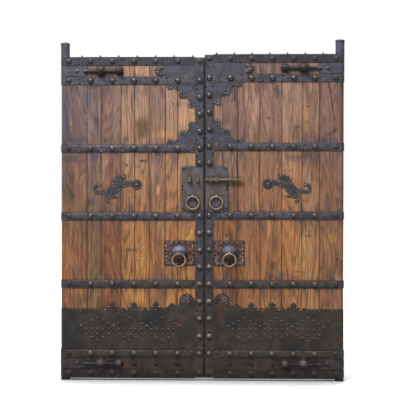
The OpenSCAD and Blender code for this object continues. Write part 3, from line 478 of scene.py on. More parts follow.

# Stains that stand out, and painted shade along the gap between the leaves: x, z, half width, half
# height, colour, strength
BLUE, ASH, SMOKE = srgb(66, 64, 74), srgb(128, 104, 94), srgb(86, 68, 60)
GOLD, BLOND = srgb(206, 150, 86), srgb(214, 170, 112)
UMBER, PITCH, GAP_SHADE_WOOD = srgb(100, 70, 46), srgb(46, 34, 29), srgb(10, 9, 9)
STAINS = (
    (-0.89, 1.70, 0.030, 0.19, BLUE, 0.75), (-0.84, 1.56, 0.11, 0.028, BLUE, 0.7),
    (-0.735, 1.84, 0.022, 0.10, BLUE, 0.75), (-0.688, 1.71, 0.020, 0.13, BLUE, 0.7),
    (-0.64, 1.565, 0.024, 0.022, BLUE, 0.7), (-0.495, 1.57, 0.024, 0.022, BLUE, 0.7),
    (-0.70, 1.91, 0.05, 0.02, BLUE, 0.7), (-0.86, 1.44, 0.06, 0.03, BLUE, 0.8),
    (-0.70, 1.45, 0.035, 0.03, BLUE, 0.7), (-0.395, 1.64, 0.055, 0.085, UMBER, 0.95),
    (-0.455, 1.81, 0.011, 0.09, UMBER, 0.75), (-0.305, 1.82, 0.034, 0.06, ASH, 0.7),
    (-0.27, 1.60, 0.07, 0.03, GOLD, 0.42), (-0.20, 1.60, 0.03, 0.036, GOLD, 0.42),
    (-0.10, 1.71, 0.06, 0.05, GOLD, 0.2), (-0.14, 1.795, 0.09, 0.018, ASH, 0.5),
    (-0.10, 0.95, 0.06, 0.05, GOLD, 0.6), (-0.30, 0.92, 0.012, 0.11, UMBER, 0.7),
    (-0.87, 1.26, 0.07, 0.17, SMOKE, 0.75), (0.0, 2.115, 0.30, 0.022, SMOKE, 0.95),
    (-0.12, 0.68, 0.05, 0.05, GOLD, 0.7), (-0.41, 0.53, 0.05, 0.06, GOLD, 0.7),
    (-0.38, 0.75, 0.05, 0.08, GOLD, 0.6), (-0.76, 1.00, 0.05, 0.16, UMBER, 0.7),
    (-0.80, 0.52, 0.05, 0.04, UMBER, 0.6), (-0.90, 0.46, 0.03, 0.05, PITCH, 0.6),
    (0.158, 0.946, 0.010, 0.014, PITCH, 0.9), (0.62, 1.65, 0.020, 0.009, PITCH, 0.85),
    (0.68, 1.78, 0.016, 0.007, PITCH, 0.8), (0.43, 1.706, 0.013, 0.012, PITCH, 0.8),
    (0.818, 1.596, 0.020, 0.014, PITCH, 0.7), (0.838, 1.610, 0.020, 0.014, PITCH, 0.7),
    (0.858, 1.627, 0.018, 0.013, PITCH, 0.7), (0.66, 1.70, 0.03, 0.14, GOLD, 0.35),
    (0.10, 1.74, 0.03, 0.12, GOLD, 0.2), (0.872, 0.79, 0.010, 0.011, PITCH, 0.95),
    (0.69, 0.943, 0.022, 0.007, PITCH, 0.7), (0.442, 0.673, 0.012, 0.016, PITCH, 0.8),
    (0.62, 0.71, 0.032, 0.006, PITCH, 0.6), (0.655, 0.83, 0.020, 0.17, BLOND, 0.7),
    (0.432, 0.98, 0.012, 0.10, GOLD, 0.7), (-0.381, 1.427, 0.032, 0.009, PITCH, 0.85),
    (-0.49, 1.40, 0.009, 0.011, PITCH, 0.8), (-0.387, 1.355, 0.012, 0.022, BLUE, 0.8),
    (-0.442, 1.19, 0.013, 0.007, PITCH, 0.7), (-0.72, 1.16, 0.028, 0.026, BLUE, 0.9),
    (-0.288, 1.245, 0.012, 0.035, BLOND, 0.7), (-0.46, 0.85, 0.05, 0.012, UMBER, 0.7),
    # The tall black band at GAP_X is painted shade in the gap between the leaves, not a stain
    (-0.25, 0.62, 0.012, 0.03, PITCH, 0.7), (GAP_X, 1.05, 0.010, 40.0, GAP_SHADE_WOOD, 0.98),
    (0.80, 1.56, 0.08, 0.03, BLUE, 0.6), (0.60, 1.45, 0.06, 0.025, BLUE, 0.5),
)
# How far a stain can spread sideways, in its own half widths
SPREAD = 1.5
# The split in the right hinge stile: its middle (x, z), lean, and the heights where it fades in
SPLIT = (0.84, 1.807, 0.13, 1.67, 1.71)

# How much run-off and blue-black staining the boards carry
BOARD_STAIN, BOARD_SOOT = 0.9, 0.25
SOOT = {("left", "hinge_stile"): 0.8, ("left", "plank_1"): 0.85, ("right", "hinge_stile"): 0.5,
        ("left", "meeting_stile"): 0.1, ("left", "plank_6"): 0.1}


def paint(node, material):
    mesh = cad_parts[node].data
    mesh.materials.clear()
    mesh.materials.append(material)


def soften(node):
    """Worn arrises on a CAD piece."""
    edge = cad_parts[node].modifiers.new("worn_edge", "BEVEL")
    edge.width = ARRIS
    edge.segments = 2
    edge.limit_method = "ANGLE"
    edge.angle_limit = math.radians(50)


def board_wood(side, board, tone, seed, bare):
    """Timber of one board, with the stains that reach it."""
    low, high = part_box(f"{side}_{board}")
    marks = [(x, z, wide, *rest) for x, z, wide, *rest in STAINS
             if low.x - SPREAD * wide < x < high.x + SPREAD * wide]
    split = SPLIT if low.x < SPLIT[0] < high.x else None
    return wood(f"wood_{side}_{board}", tone, seed, BOARD_STAIN,
                SOOT.get((side, board), BOARD_SOOT), marks, split, bare)


for number, side in enumerate(SIDES):
    boards = ["hinge_stile"] + [f"plank_{i + 1}" for i in range(PLANKS[side])] + ["meeting_stile"]
    for i, board in enumerate(boards):
        bare = 0 if i else -1 if side == "left" else 1
        seed = 1.0 + 2.3 * i + 19 * number
        paint(f"{side}_{board}", board_wood(side, board, BOARD_TONES[side][i], seed, bare))
    paint(f"{side}_back_battens", wood(f"wood_{side}_battens", "plum", 50 + number))
    for piece, material in FINISH.items():
        paint(f"{side}_{piece}", material)
    for piece in BEVELLED:
        soften(f"{side}_{piece}")
paint("bolt", BOLT_BRONZE)


# Small ironwork

def new_piece(name, mesh, leaf, slot, *materials, smooth=True):
    bmesh.ops.recalc_face_normals(mesh, faces=mesh.faces)
    data = bpy.data.meshes.new(name)
    mesh.to_mesh(data)
    mesh.free()
    for material in materials:
        data.materials.append(material)
    for face in data.polygons:
        face.use_smooth = smooth
    piece = bpy.data.objects.new(name, data)
    bpy.context.scene.collection.objects.link(piece)
    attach(piece, leaf.body)
    return piece


def set_finish(mesh, known, finish):
    """Gives the faces added after the first known ones a material slot."""
    mesh.faces.ensure_lookup_table()
    for face in mesh.faces[known:]:
        face.material_index = finish


def skin(mesh, rows):
    """Faces between rings of vertices that follow each other, and one over the first ring."""
    sides = len(rows[0])
    for low, high in zip(rows, rows[1:]):
        for i in range(sides):
            j = (i + 1) % sides
            mesh.faces.new((low[i], low[j], high[j], high[i]))
    mesh.faces.new(list(reversed(rows[0])))


SINK = 0.0006


def cap(mesh, centre, radius, rise, sides=12, rings=3, finish=0):
    """Rounded nail head on the plane through its centre, looking along -Y, sunk a little."""
    known = len(mesh.faces)
    turns = [2 * math.pi * i / sides for i in range(sides)]
    rows = []
    for k in range(rings):
        a = math.pi / 2 * k / rings
        r, y = radius * math.cos(a), SINK - (rise + SINK) * math.sin(a)
        rows.append([mesh.verts.new(centre + Vector((r * math.cos(t), y, r * math.sin(t))))
                     for t in turns])
    skin(mesh, rows)
    top = mesh.verts.new(centre + Vector((0, -rise, 0)))
    for i in range(sides):
        mesh.faces.new((rows[-1][i], rows[-1][(i + 1) % sides], top))
    set_finish(mesh, known, finish)


def stroke(mesh, points, radii, sides=7, finish=0):
    """Raised rib along points on a plane facing -Y, with one radius or a radius at each point."""
    known = len(mesh.faces)
    turns = [2 * math.pi * k / sides for k in range(sides)]
    rows = []
    for i, point in enumerate(points):
        before, after = points[max(i - 1, 0)], points[min(i + 1, len(points) - 1)]
        side = (after - before).normalized().cross(Vector((0, 1, 0))).normalized()
        radius = radii[i] if isinstance(radii, (list, tuple)) else radii
        rows.append([mesh.verts.new(point + side * radius * math.cos(t)
                                    - Vector((0, radius * 0.8 * math.sin(t), 0)))
                     for t in turns])
    skin(mesh, rows)
    mesh.faces.new(rows[-1])
    set_finish(mesh, known, finish)


def arc(leaf, u, y, z, radius, start, end, steps=12, shrink=1.0):
    """Points of an arc about (u, z), in degrees, whose radius runs to shrink times itself."""
    points = []
    for i in range(steps + 1):
        t = i / steps
        a = math.radians(start + (end - start) * t)
        r = radius * (1 + (shrink - 1) * t)
        points.append(leaf.at(u + r * math.cos(a), y, z + r * math.sin(a)))
    return points


def spoke(mesh, leaf, centre, way, near, far, widths, finish):
    """Short rib that runs outwards from a centre (u, y, z) on the leaf, way in degrees."""
    u, y, z = centre
    du, dz = math.cos(math.radians(way)), math.sin(math.radians(way))
    points = [leaf.at(u + r * du, y, z + r * dz) for r in (near, (near + far) / 2, far)]
    stroke(mesh, points, widths, finish=finish)


TACK_SIZE, LOCK_TACK_SIZE = (0.0052, 0.004), (0.0056, 0.0042)
# Nails of a lock plate: distance from its outer edge, and share of its height
LOCK_NAILS = ((0.011, 0.93), (0.024, 0.96), (0.007, 0.57), (0.007, 0.5), (0.011, 0.07),
              (0.024, 0.04), (0.128, 0.97), (0.108, 0.975), (0.13, 0.03))
# Heights where the lock plate starts and ends, and where the upper hinge band starts
LOCK_FROM, LOCK_TO, BAND_FROM = 1.06, 1.42, 1.8


def tacks(leaf):
    """Pairs of tacks between the dome nails, down the meeting edge, and on the lock plate."""
    mesh = bmesh.new()
    rows = [(leaf.height - STRAP_H / 2, leaf.strap_y), (KICK_STRAP_Z, leaf.kick_strap_y),
            (STRAP_H / 2, leaf.kick_strap_y)] + [(z, leaf.strap_y) for z in leaf.straps[1:]]
    for z, y in rows:
        for i in range(NAILS - 1):
            for s in (-1, 1):
                u = leaf.nail(i + 0.5) + 0.004 * math.sin(37 * i + 91 * z + s)
                if z > BAND_FROM and abs(u - BOSSES[0][0]) < 0.03:
                    continue
                off = s * (0.017 + 0.002 * math.sin(50 * u))
                cap(mesh, leaf.at(u, y, z + off), *TACK_SIZE)
    for low, high in zip(leaf.straps, leaf.straps[1:]):
        for q in range(4):
            z = low + (q + 0.5) / 4 * (high - low)
            if not LOCK_FROM < z < LOCK_TO:
                for s in (-1, 1):
                    cap(mesh, leaf.at(leaf.edge_nail + s * 0.021, leaf.strap_y, z), *TACK_SIZE)
    low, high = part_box(f"{leaf.side}_lock_plate")
    lock_z, lock_h = low.z - leaf.base_z, high.z - low.z
    for u, z in LOCK_NAILS:
        cap(mesh, leaf.at(leaf.width - LOCK_W + u, low.y, lock_z + z * lock_h), *LOCK_TACK_SIZE)
    new_piece(f"{leaf.side}_tacks", mesh, leaf, "stud_iron", DARK_TACK)


# Material slots of the ornament, after the plate's own
AS_DARK, AS_BRIGHT, AS_RUST = 1, 2, 3
# Lobes of a corner plate: place as shares of its size, relative radius, way it faces in degrees
LOBES = ((0.84, 0.07, 1.0, 105), (0.41, 0.38, 1.3, 135), (0.13, 0.8, 0.95, 160))
# Ribs on a lobe: reach as a share of its radius, widths, material slot; bright ridges paint a
# highlight and dark grooves paint the shade between them
RIDGE = (0.88, (0.0014, 0.0026, 0.0034), AS_BRIGHT)
GROOVE = (0.8, (0.001, 0.0018, 0.0026), AS_DARK)
# Necks between the lobes: both ends as shares of the plate's size
NECKS = (((0.72, 0.15), (0.56, 0.25)), ((0.31, 0.53), (0.22, 0.67)))
BEAD_SIZE = (0.0036, 0.003)


def spandrel_ribs(mesh, leaf, z0, up):
    """Fanned ribs and grooves on the lobes of a corner plate at z0, and beads along its necks."""
    y = leaf.sheet_y
    w, h = CORNER_W, CORNER_H
    for lu, lz, size, face in LOBES:
        lobe = size * h / 7
        u, z = leaf.inner - lu * w, z0 + up * lz * h
        for k in range(-4, 5):
            way = face + 21 * k
            run, rise = (lobe * f(math.radians(way)) for f in (math.cos, math.sin))
            if lz * h + rise < 0.004 or run - lu * w > -0.003:
                continue
            far, widths, finish = GROOVE if k % 2 else RIDGE
            spoke(mesh, leaf, (u, y, z), up * way, 0.3 * lobe, far * lobe, widths, finish)
        stroke(mesh, arc(leaf, u, y, z, 0.24 * lobe, 0, 360, 14), 0.0018, finish=AS_DARK)
    # Beads along the necks alternate bright and dark: painted highlight and painted shade
    for (au, az), (bu, bz) in NECKS:
        for k in range(5):
            t = k / 4
            off_u, off_z = (au + (bu - au) * t) * w * 0.95, (az + (bz - az) * t) * h * 0.95
            cap(mesh, leaf.at(leaf.inner - off_u, y, z0 + up * off_z), *BEAD_SIZE, 8, 2,
                finish=AS_DARK if k % 2 else AS_BRIGHT)


def kick_relief(mesh, leaf):
    """Curls and ribs at the inner end of the kick plate, and the scrolled leaf on the boards."""
    y = leaf.sheet_y
    for a, b, r in ((-0.4, 0.32, 0.1), (-0.27, 0.38, 0.085)):
        u, z = leaf.inner + a * CORNER_W, KICK_H + b * CORNER_W
        curl = arc(leaf, u, y, z, 0.82 * r * CORNER_W, -60, 330, 20, 0.5)
        stroke(mesh, curl, 0.0026, finish=AS_BRIGHT)
    u, z = leaf.inner - 0.77 * CORNER_W, KICK_H + 0.1 * CORNER_W
    for k in range(4):
        t = math.radians(40 + 34 * k)
        stroke(mesh, [leaf.at(u + r * math.cos(t), y, z + r * math.sin(t)) for r in (0.004, 0.013)],
               [0.0012, 0.0024])

    y = leaf.board_y - 0.0008
    u, z = leaf.inner - 0.055, KICK_H + 0.047
    stroke(mesh, arc(leaf, u, y, z, 0.046, 5, 200, 24), 0.0042, finish=AS_RUST)
    stroke(mesh, arc(leaf, u, y, z, 0.037, 55, 195, 20), 0.003, finish=AS_DARK)
    stroke(mesh, arc(leaf, u - 0.032, y, z + 0.002, 0.013, 170, 500, 16, 0.4), 0.0026,
           finish=AS_BRIGHT)
    stroke(mesh, arc(leaf, u + 0.028, y, z + 0.022, 0.014, -70, 270, 16, 0.4), 0.003,
           finish=AS_RUST)
    for a, b, thick in ((0.0, 0.012, 0.006), (0.014, 0.0, 0.007), (0.022, -0.016, 0.006)):
        blade = [leaf.at(u + a + du, y, z + b + dz)
                 for du, dz in ((0, 0), (0.014, 0.012), (0.027, 0.026))]
        stroke(mesh, blade, [0.6 * thick, thick, 0.7 * thick], finish=AS_RUST)
    # Fanned ribs alternate bright and dark: painted highlight on ridges, painted shade between them
    for k in range(7):
        spoke(mesh, leaf, (u, y, z), 78 + 17 * k, 0.026, 0.043, [0.001, 0.0024, 0.0016],
              AS_BRIGHT if k % 2 else AS_DARK)


def palmette_veins(mesh, leaf):
    """Veins that fan out from the root of the palmette to its oval edge."""
    u, z = leaf.inner - CORNER_W - 0.4 * FLOWER_D, leaf.band_z
    root, wide, tall = 0.3 * FLOWER_D, 0.54 * FLOWER_D, 0.45 * FLOWER_D
    # Veins alternate bright and dark: painted highlight on ridges, painted shade between them
    for k, a in enumerate(range(112, 249, 8)):
        du, dz = math.cos(math.radians(a)), math.sin(math.radians(a))
        p, q = (du / wide) ** 2 + (dz / tall) ** 2, root * du / wide ** 2
        r = (root / wide) ** 2 - 1
        edge = (math.sqrt(q * q - p * r) - q) / p
        spoke(mesh, leaf, (u + root, leaf.sheet_y, z), a, 0.25 * edge, edge,
              [0.001, 0.002, 0.0032], AS_BRIGHT if k % 2 else AS_DARK)


FIGURE_SPINE = ((0.095, 0.036), (0.05, 0.036), (0.01, 0.018), (-0.03, -0.014), (-0.06, -0.03))
FIGURE_LINES = (
    ((-0.0264, 0.0284), (-0.01, 0.044), (0.0081, 0.0533), (0.03, 0.055), (0.0489, 0.0533)),
    ((-0.061, -0.0089), (-0.036, 0.004), (-0.0107, 0.016), (0.0395, 0.0222)),
    ((-0.036, -0.04), (-0.015, -0.026), (0.0019, -0.012), (0.0144, -0.0027)),
)
FIGURE_CURLS = ((0.02, 0.07), (-0.005, 0.055), (0.045, 0.07))
FIGURE_NAILS = ((-0.116, 0.024), (-0.137, -0.013), (-0.068, -0.010), (-0.026, 0.033),
                (-0.018, 0.061), (0.053, 0.047), (0.112, 0.050), (0.046, 0.022), (0.013, -0.004),
                (0.0, -0.045), (0.046, 0.081), (-0.067, -0.073))


def figure_relief(mesh, leaf):
    """Ring and curl on the head of the figure, lines along its body, and a curl on its tail."""
    y = leaf.sheet_y
    u, z = leaf.figure

    def along(line):
        return [leaf.at(u + a, y, z + b) for a, b in line]

    stroke(mesh, arc(leaf, u + HEAD_U, y, z + HEAD_Z, HEAD_R * 0.84, 0, 360, 28), 0.0032)
    stroke(mesh, arc(leaf, u + HEAD_U, y, z + HEAD_Z, HEAD_R * 0.62, 40, 400, 24, 0.6), 0.0026,
           finish=AS_DARK)
    stroke(mesh, along(FIGURE_SPINE), 0.003)
    for line in FIGURE_LINES:
        stroke(mesh, along(line), 0.0022)
    for a, b in FIGURE_CURLS:
        stroke(mesh, arc(leaf, u + a, y, z + b, 0.011, 30, 330, 12, 0.6), 0.0024)
    stroke(mesh, arc(leaf, u - 0.118, y, z + 0.001, 0.024, 265, 100, 12), 0.003)


def ornament(leaf):
    """Raised lines on the corner plates, the kick plate, the palmette and the figure."""
    mesh = bmesh.new()
    spandrel_ribs(mesh, leaf, leaf.straps[4] - STRAP_H / 2, -1)
    spandrel_ribs(mesh, leaf, leaf.straps[3] + STRAP_H / 2, 1)
    kick_relief(mesh, leaf)
    palmette_veins(mesh, leaf)
    figure_relief(mesh, leaf)
    new_piece(f"{leaf.side}_ornament", mesh, leaf, "strap_iron", PLATE, DARK_TACK, RIB, RUST)


PETALS = 10


def boss_ribs(leaf):
    """Petal ribs on the knobs of the hinge bands, and beads round their rims."""
    mesh = bmesh.new()
    rows = ((leaf.band_z, leaf.board_y), (KICK_STRAP_Z / 2 + STRAP_H / 4, leaf.sheet_y))
    for z, seat in rows:
        for u, d, lift in BOSSES:
            knob_r, knob_h = 0.38 * d, BOSS_RISE - 0.08 * d

            def around(r, high, turn):
                return leaf.at(u + r * math.cos(turn), seat - lift - high, z + r * math.sin(turn))

            def on_knob(share, turn):
                high = BOSS_WASHER + (knob_h - BOSS_WASHER) * math.sqrt(1 - share * share)
                return around(share * knob_r, high, turn)

            for k in range(PETALS):
                turn = 2 * math.pi * (k + 0.5) / PETALS
                stroke(mesh, [on_knob(share, turn) for share in (0.97, 0.88, 0.74, 0.58, 0.42)],
                       [0.0012, 0.0022, 0.0022, 0.0018, 0.0012], 6)
                cap(mesh, around(0.445 * d, BOSS_WASHER - 0.001, turn), *BEAD_SIZE, 8, 2,
                    finish=1 + k % 2)
    new_piece(f"{leaf.side}_boss_ribs", mesh, leaf, "stud_iron", BOSS_RIB, DARK_TACK, PLATE)


# One quarter of a knocker plate, as places from its middle.
# Curls: u, z, radius, start and sweep in degrees, steps, shrink, thickness
KNOCKER_CURLS = ((0.078, 0.060, 0.013, 90, 380, 16, 0.3, 0.0026),
                 (0.058, 0.066, 0.009, -90, -330, 14, 0.4, 0.0023),
                 (0.082, 0.028, 0.010, 0, 340, 14, 0.4, 0.0023))
# Dark discs that stand for piercings: u, z, radius
KNOCKER_DISCS = ((0.067, 0.047, 0.0055), (0.042, 0.069, 0.005), (0.014, 0.071, 0.0055),
                 (0.071, 0.010, 0.005), (0.091, 0.043, 0.0045), (0.09, 0.012, 0.004),
                 (0.030, 0.062, 0.004))
# Tendrils: u, z, start in degrees
KNOCKER_TENDRILS = ((0.028, 0.071, 20), (0.064, 0.032, 100), (0.072, 0.020, 60))
QUARTERS = ((-1, -1), (-1, 1), (1, -1), (1, 1))
RIM_BEADS, RIM_R = 30, 0.0545
BORDER_BEADS = 11


def knocker_relief(leaf):
    """Curls and dark discs on the knocker plate, a beaded rim round its dome, a beaded border."""
    mesh = bmesh.new()
    ku, kz = leaf.knocker
    ky = leaf.board_y - KNOCKER_T
    for su, sz in QUARTERS:
        hand = su * sz
        for a, b, r, start, sweep, steps, shrink, thick in KNOCKER_CURLS:
            stroke(mesh, arc(leaf, ku + su * a, ky, kz + sz * b, r, sz * start,
                             sz * start + hand * sweep, steps, shrink), thick)
        for a, b, r in KNOCKER_DISCS:
            cap(mesh, leaf.at(ku + su * a, ky, kz + sz * b), r, 0.0009, 10, 2, finish=1)
        for a, b, way in KNOCKER_TENDRILS:
            stroke(mesh, arc(leaf, ku + su * a, ky, kz + sz * b, 0.0065, way, way + 300 * hand,
                             12, 0.5), 0.002)
    for i in range(RIM_BEADS):
        a = 2 * math.pi * i / RIM_BEADS
        cap(mesh, leaf.at(ku + RIM_R * math.cos(a), ky, kz + RIM_R * math.sin(a)), 0.003, 0.002,
            8, 2)
    for i in range(4 * BORDER_BEADS):
        side, along = divmod(i, BORDER_BEADS)
        t = (2 * along + 1) / BORDER_BEADS - 1
        du, dz = ((t, -1), (1, t), (-t, 1), (-1, -t))[side]
        inset = 0.007 if i % 2 else 0.012
        bead = leaf.at(ku + du * (KNOCKER_W / 2 - inset), ky, kz + dz * (KNOCKER_H / 2 - inset))
        cap(mesh, bead, 0.0058, 0.0036, 8, 2, finish=i % 2)
    new_piece(f"{leaf.side}_knocker_relief", mesh, leaf, "rust_iron", RUST_LINE, DARK_TACK)


KICK_TACKS, KICK_TACK_PITCH = 44, 0.0135


def bright_nails(leaf):
    """Tacks on the figure, along the kick plate's edge, on one strap and on the knocker plate."""
    bright, dark, rusty = range(3)
    mesh = bmesh.new()
    fu, fz = leaf.figure
    for a, b in FIGURE_NAILS:
        cap(mesh, leaf.at(fu + a, leaf.sheet_y, fz + b), 0.005, 0.0034)
    cap(mesh, leaf.at(fu + HEAD_U, leaf.board_y, fz + HEAD_Z), 0.0065, 0.006)
    for i in range(3):
        cloud = leaf.nail(2 + i)
        for d, z in ((-0.022, 0.012), (0.022, 0.012), (-0.046, -0.006)):
            cap(mesh, leaf.at(cloud + d, leaf.sheet_y, KICK_H + z), 0.0052, 0.0034)
    for k in range(KICK_TACKS):
        place = leaf.at(0.012 + KICK_TACK_PITCH * k, leaf.sheet_y,
                        KICK_H - 0.008 + 0.003 * math.sin(2.4 * k))
        finish = bright if k % 11 == 3 else rusty if k % 2 else dark
        cap(mesh, place, 0.0042, 0.003, 8, 2, finish=finish)
    for n in range(NAILS - 3):
        place = leaf.at(leaf.nail(n + 0.5), leaf.strap_y, leaf.straps[3] - 0.0185)
        cap(mesh, place, 0.0048, 0.0036, finish=bright if n in (1, 2) else rusty)
    ku, kz = leaf.knocker
    for su, sz in QUARTERS:
        place = leaf.at(ku + su * 0.088, leaf.board_y - KNOCKER_T, kz + sz * 0.044)
        cap(mesh, place, 0.006, 0.004)
    new_piece(f"{leaf.side}_bright_nails", mesh, leaf, "stud_iron", TACK, DARK_TACK, RUST_LINE)


# Heights between which the meeting edge is rubbed bright
RUBBED_FROM, RUBBED_TO = 0.2, 1.0


def dome_nails(leaf):
    """Forged nails at the places of the CAD ones: dark above, rubbed at the edge, rusty below."""
    dark, rubbed, rusty, flat = range(4)
    mesh = bmesh.new()
    heads = []
    for i, z in enumerate(leaf.straps):
        y, first = (leaf.strap_y, flat) if i else (leaf.kick_strap_y, rusty)
        heads.append((leaf.nail(0), y, z, FLAT_RISE, first))
        heads += [(leaf.nail(n), y, z, NAIL_RISE, dark) for n in range(1, NAILS - 1)]
    for y, z, finish in ((leaf.strap_y, leaf.height - STRAP_H / 2, flat),
                         (leaf.kick_strap_y, STRAP_H / 2, rusty)):
        heads += [(leaf.nail(n), y, z, FLAT_RISE, finish) for n in range(NAILS - 1)]
        heads.append((leaf.edge_nail, leaf.strap_y, z, FLAT_RISE, finish))
    low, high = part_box(f"{leaf.side}_lock_plate")
    lock_low, lock_high = low.z - leaf.base_z - NAIL_R, high.z - leaf.base_z + NAIL_R
    edge = [lock_high + 0.002]
    edge += [a + q / 4 * (b - a) for a, b in zip(leaf.straps, leaf.straps[1:]) for q in range(4)]
    for z in edge + leaf.straps[-1:]:
        if not lock_low < z < lock_high:
            finish = rubbed if RUBBED_FROM < z < RUBBED_TO else dark
            heads.append((leaf.edge_nail, leaf.strap_y, z, NAIL_RISE, finish))
    for k, (u, y, z, rise, finish) in enumerate(heads):
        size = 1 + 0.05 * math.sin(12.9 * k + leaf.sense)
        cap(mesh, leaf.at(u, y, z), NAIL_R * size, rise, 24, 6, finish=finish)
    piece = new_piece(f"{leaf.side}_forged_nails", mesh, leaf, "stud_iron", NAIL, RUBBED, RUSTY,
                      FLAT_NAIL)
    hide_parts(f"{leaf.side}_dome_nails")


CROWN_HALF, CROWN_RISE = 0.0235, 0.0036
CROWN_SPANS, CROWN_STEPS = 24, 8


def strap_crowns(leaf):
    """Slightly rounded faces of the cross straps, as the hammer left them."""
    mesh = bmesh.new()
    for i, z in enumerate(leaf.straps[:4]):
        y = leaf.strap_y if i else leaf.kick_strap_y
        rows = []
        for k in range(CROWN_SPANS + 1):
            u = 0.012 + (leaf.inner - 0.016) * k / CROWN_SPANS
            lift = CROWN_RISE * (1 + 0.25 * math.sin(5.1 * k + 2.3 * i))
            if k in (0, CROWN_SPANS):
                lift *= 0.15
            rows.append([mesh.verts.new(leaf.at(u, y + 0.0004 - lift * (1 - t * t),
                                                z + CROWN_HALF * t))
                         for t in (2 * j / CROWN_STEPS - 1 for j in range(CROWN_STEPS + 1))])
        skin(mesh, rows)
        mesh.faces.new(rows[-1])
    new_piece(f"{leaf.side}_strap_crowns", mesh, leaf, "strap_iron", STRAP)


def joint_lines(leaf):
    """Dark lines where straps and plates meet on the corner of the leaf: dirt in the joints, and
    painted shade along the strap edges.
    """
    mesh = bmesh.new()
    y = leaf.board_y - 0.0024
    plate_u = leaf.inner - CORNER_W
    half = STRAP_H / 2
    levels = (leaf.height - STRAP_H, leaf.straps[4] + half, leaf.straps[4] - half,
              leaf.straps[3] + half)
    for z in levels:
        steps = [plate_u + 0.01 + (CORNER_W - 0.01) * k / 16 for k in range(17)]
        stroke(mesh, [leaf.at(u, y, z + 0.0005 * math.sin(900 * u)) for u in steps], 0.0017, 6)
    rows = [levels[-1] + (leaf.height - levels[-1]) * k / 40 for k in range(41)]
    stroke(mesh, [leaf.at(leaf.inner - 0.0002, y, z) for z in rows], 0.0016, 6)
    new_piece(f"{leaf.side}_joint_lines", mesh, leaf, "dark_iron", DARK_TACK)


LATH_W, LATH_T, LATH_SLOPE = 0.018, 0.004, 0.002


def seam_laths(leaf):
    """Thin laths over the seams on the back, between the battens."""
    mesh = bmesh.new()
    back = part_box(f"{leaf.side}_plank_1")[1].y
    low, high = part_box(f"{leaf.side}_back_battens")
    half = (high.z - low.z - (leaf.straps[4] - leaf.straps[0])) / 2 + 0.002
    levels = [0.003] + [z + s * half for z in leaf.straps for s in (-1, 1)] + [leaf.height - 0.008]
    wide, narrow = LATH_W / 2, LATH_W / 2 - LATH_SLOPE
    ring = ((-wide, 0), (wide, 0), (narrow, LATH_T), (-narrow, LATH_T))
    for i in range(1, PLANKS[leaf.side] + 1):
        low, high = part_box(f"{leaf.side}_plank_{i}")
        u = abs((high.x if leaf.side == "left" else low.x) - leaf.axis_x)
        for ends in zip(levels[::2], levels[1::2]):
            rows = [[mesh.verts.new(leaf.at(u + a, back + b, z)) for a, b in ring] for z in ends]
            skin(mesh, rows)
            mesh.faces.new(rows[-1])
    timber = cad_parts[f"{leaf.side}_back_battens"].data.materials[0]
    new_piece(f"{leaf.side}_seam_laths", mesh, leaf, "batten_timber", timber, smooth=False)


for leaf in LEAVES:
    joint_lines(leaf)
    seam_laths(leaf)
    dome_nails(leaf)
    strap_crowns(leaf)
    boss_ribs(leaf)
    knocker_relief(leaf)
    tacks(leaf)
    ornament(leaf)
    bright_nails(leaf)


# Stage

FLOOR_HALF = 30
FLOOR_LIT, FLOOR_SHOWN = (0.2, 0.2, 0.2, 1), (0.5, 0.5, 0.5, 1)
WHITE, SKYLIGHT = (1, 1, 1, 1), (0.88, 0.93, 1.0, 1)


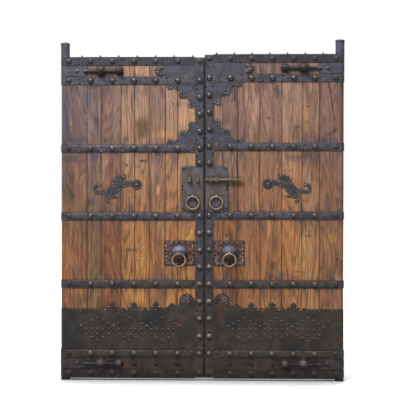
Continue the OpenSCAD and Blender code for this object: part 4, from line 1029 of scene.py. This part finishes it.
def floor():
    """White to the camera, in reflections and through glass, but with the object's shadow, and a
    painted contact shadow where the white glow is dimmed at the gate's foot.
    """
    mesh = bpy.data.meshes.new("floor")
    mesh.from_pydata([(x * FLOOR_HALF, y * FLOOR_HALF, 0) for x, y in QUARTERS], [], [(0, 2, 3, 1)])
    piece = bpy.data.objects.new("floor", mesh)
    bpy.context.scene.collection.objects.link(piece)
    g = Graph(bpy.data.materials.new("floor"))
    lit = g.add("ShaderNodeBsdfDiffuse", {"Color": FLOOR_LIT}).outputs[0]
    pale = g.add("ShaderNodeBsdfDiffuse", {"Color": FLOOR_SHOWN}).outputs[0]
    # The glow is weaker near the gate so that its cast shadow shows, and weaker still where ambient
    # occlusion is low at its foot: a painted contact shadow
    glow_with_painted_shadow = g.times(g.ranged(g.length(g.place), 1.0, 2.6, 0.74, 1.0),
                   g.ranged(g.hollow(0.3), 0.55, 0.95, 0.05, 1.0))
    white = g.add("ShaderNodeEmission", {"Color": WHITE, "Strength": glow_with_painted_shadow}).outputs[0]
    shown = g.add("ShaderNodeAddShader", {0: pale, 1: white}).outputs[0]
    both = g.add("ShaderNodeMixShader", {0: g.seen(), 1: lit, 2: shown}).outputs[0]
    mesh.materials.append(g.end(both))


def sky():
    """White where the floor is, and otherwise a soft light that comes mostly from above."""
    g = Graph(bpy.data.worlds.new("sky"))
    rise = g.add("ShaderNodeMapRange", {
        "Value": g.axis(g.share, "Z"), "From Min": 0.0, "From Max": 0.9,
        "To Min": 0.05, "To Max": 0.5}).outputs[0]
    soft = g.add("ShaderNodeBackground", {"Color": SKYLIGHT, "Strength": rise}).outputs[0]
    white = g.add("ShaderNodeBackground", {"Color": WHITE}).outputs[0]
    both = g.add("ShaderNodeMixShader", {0: g.seen(), 1: soft, 2: white}).outputs[0]
    bpy.context.scene.world = g.end(both, "ShaderNodeOutputWorld")


def lamp(name, place, aim, size, power, colour=(1, 1, 1)):
    light = bpy.data.lights.new(name, "AREA")
    light.size = size
    light.energy = power
    light.color = colour
    piece = bpy.data.objects.new(name, light)
    piece.location = place
    piece.rotation_euler = (Vector(aim) - Vector(place)).to_track_quat("-Z", "Y").to_euler()
    bpy.context.scene.collection.objects.link(piece)


def camera():
    """The photograph's view: square on, level with the lock, a little to the right."""
    data = bpy.data.cameras.new("camera")
    data.sensor_width = 36
    focal_px, frame_px = 925, 400
    data.lens = focal_px / frame_px * data.sensor_width
    piece = bpy.data.objects.new("camera", data)
    piece.location = (0.126, -6.0, 1.23)
    yaw, pitch, roll = (math.radians(a) for a in (-1.329, -0.532, -0.074))
    piece.rotation_euler = (math.radians(90) + pitch, roll, -yaw)
    bpy.context.scene.collection.objects.link(piece)
    bpy.context.scene.camera = piece


floor()
sky()
lamp("key", (-1.7, -2.7, 5.6), (0, 0, 0.9), 2.0, 350, (1.0, 0.99, 0.97))
lamp("fill", (2.6, -5.2, 2.4), (0, 0, 0.8), 3.0, 14)
lamp("back", (1.2, 4.5, 3.6), (0, 0, 1.0), 3.0, 120)
camera()
bpy.context.scene.view_settings.view_transform = "Standard"
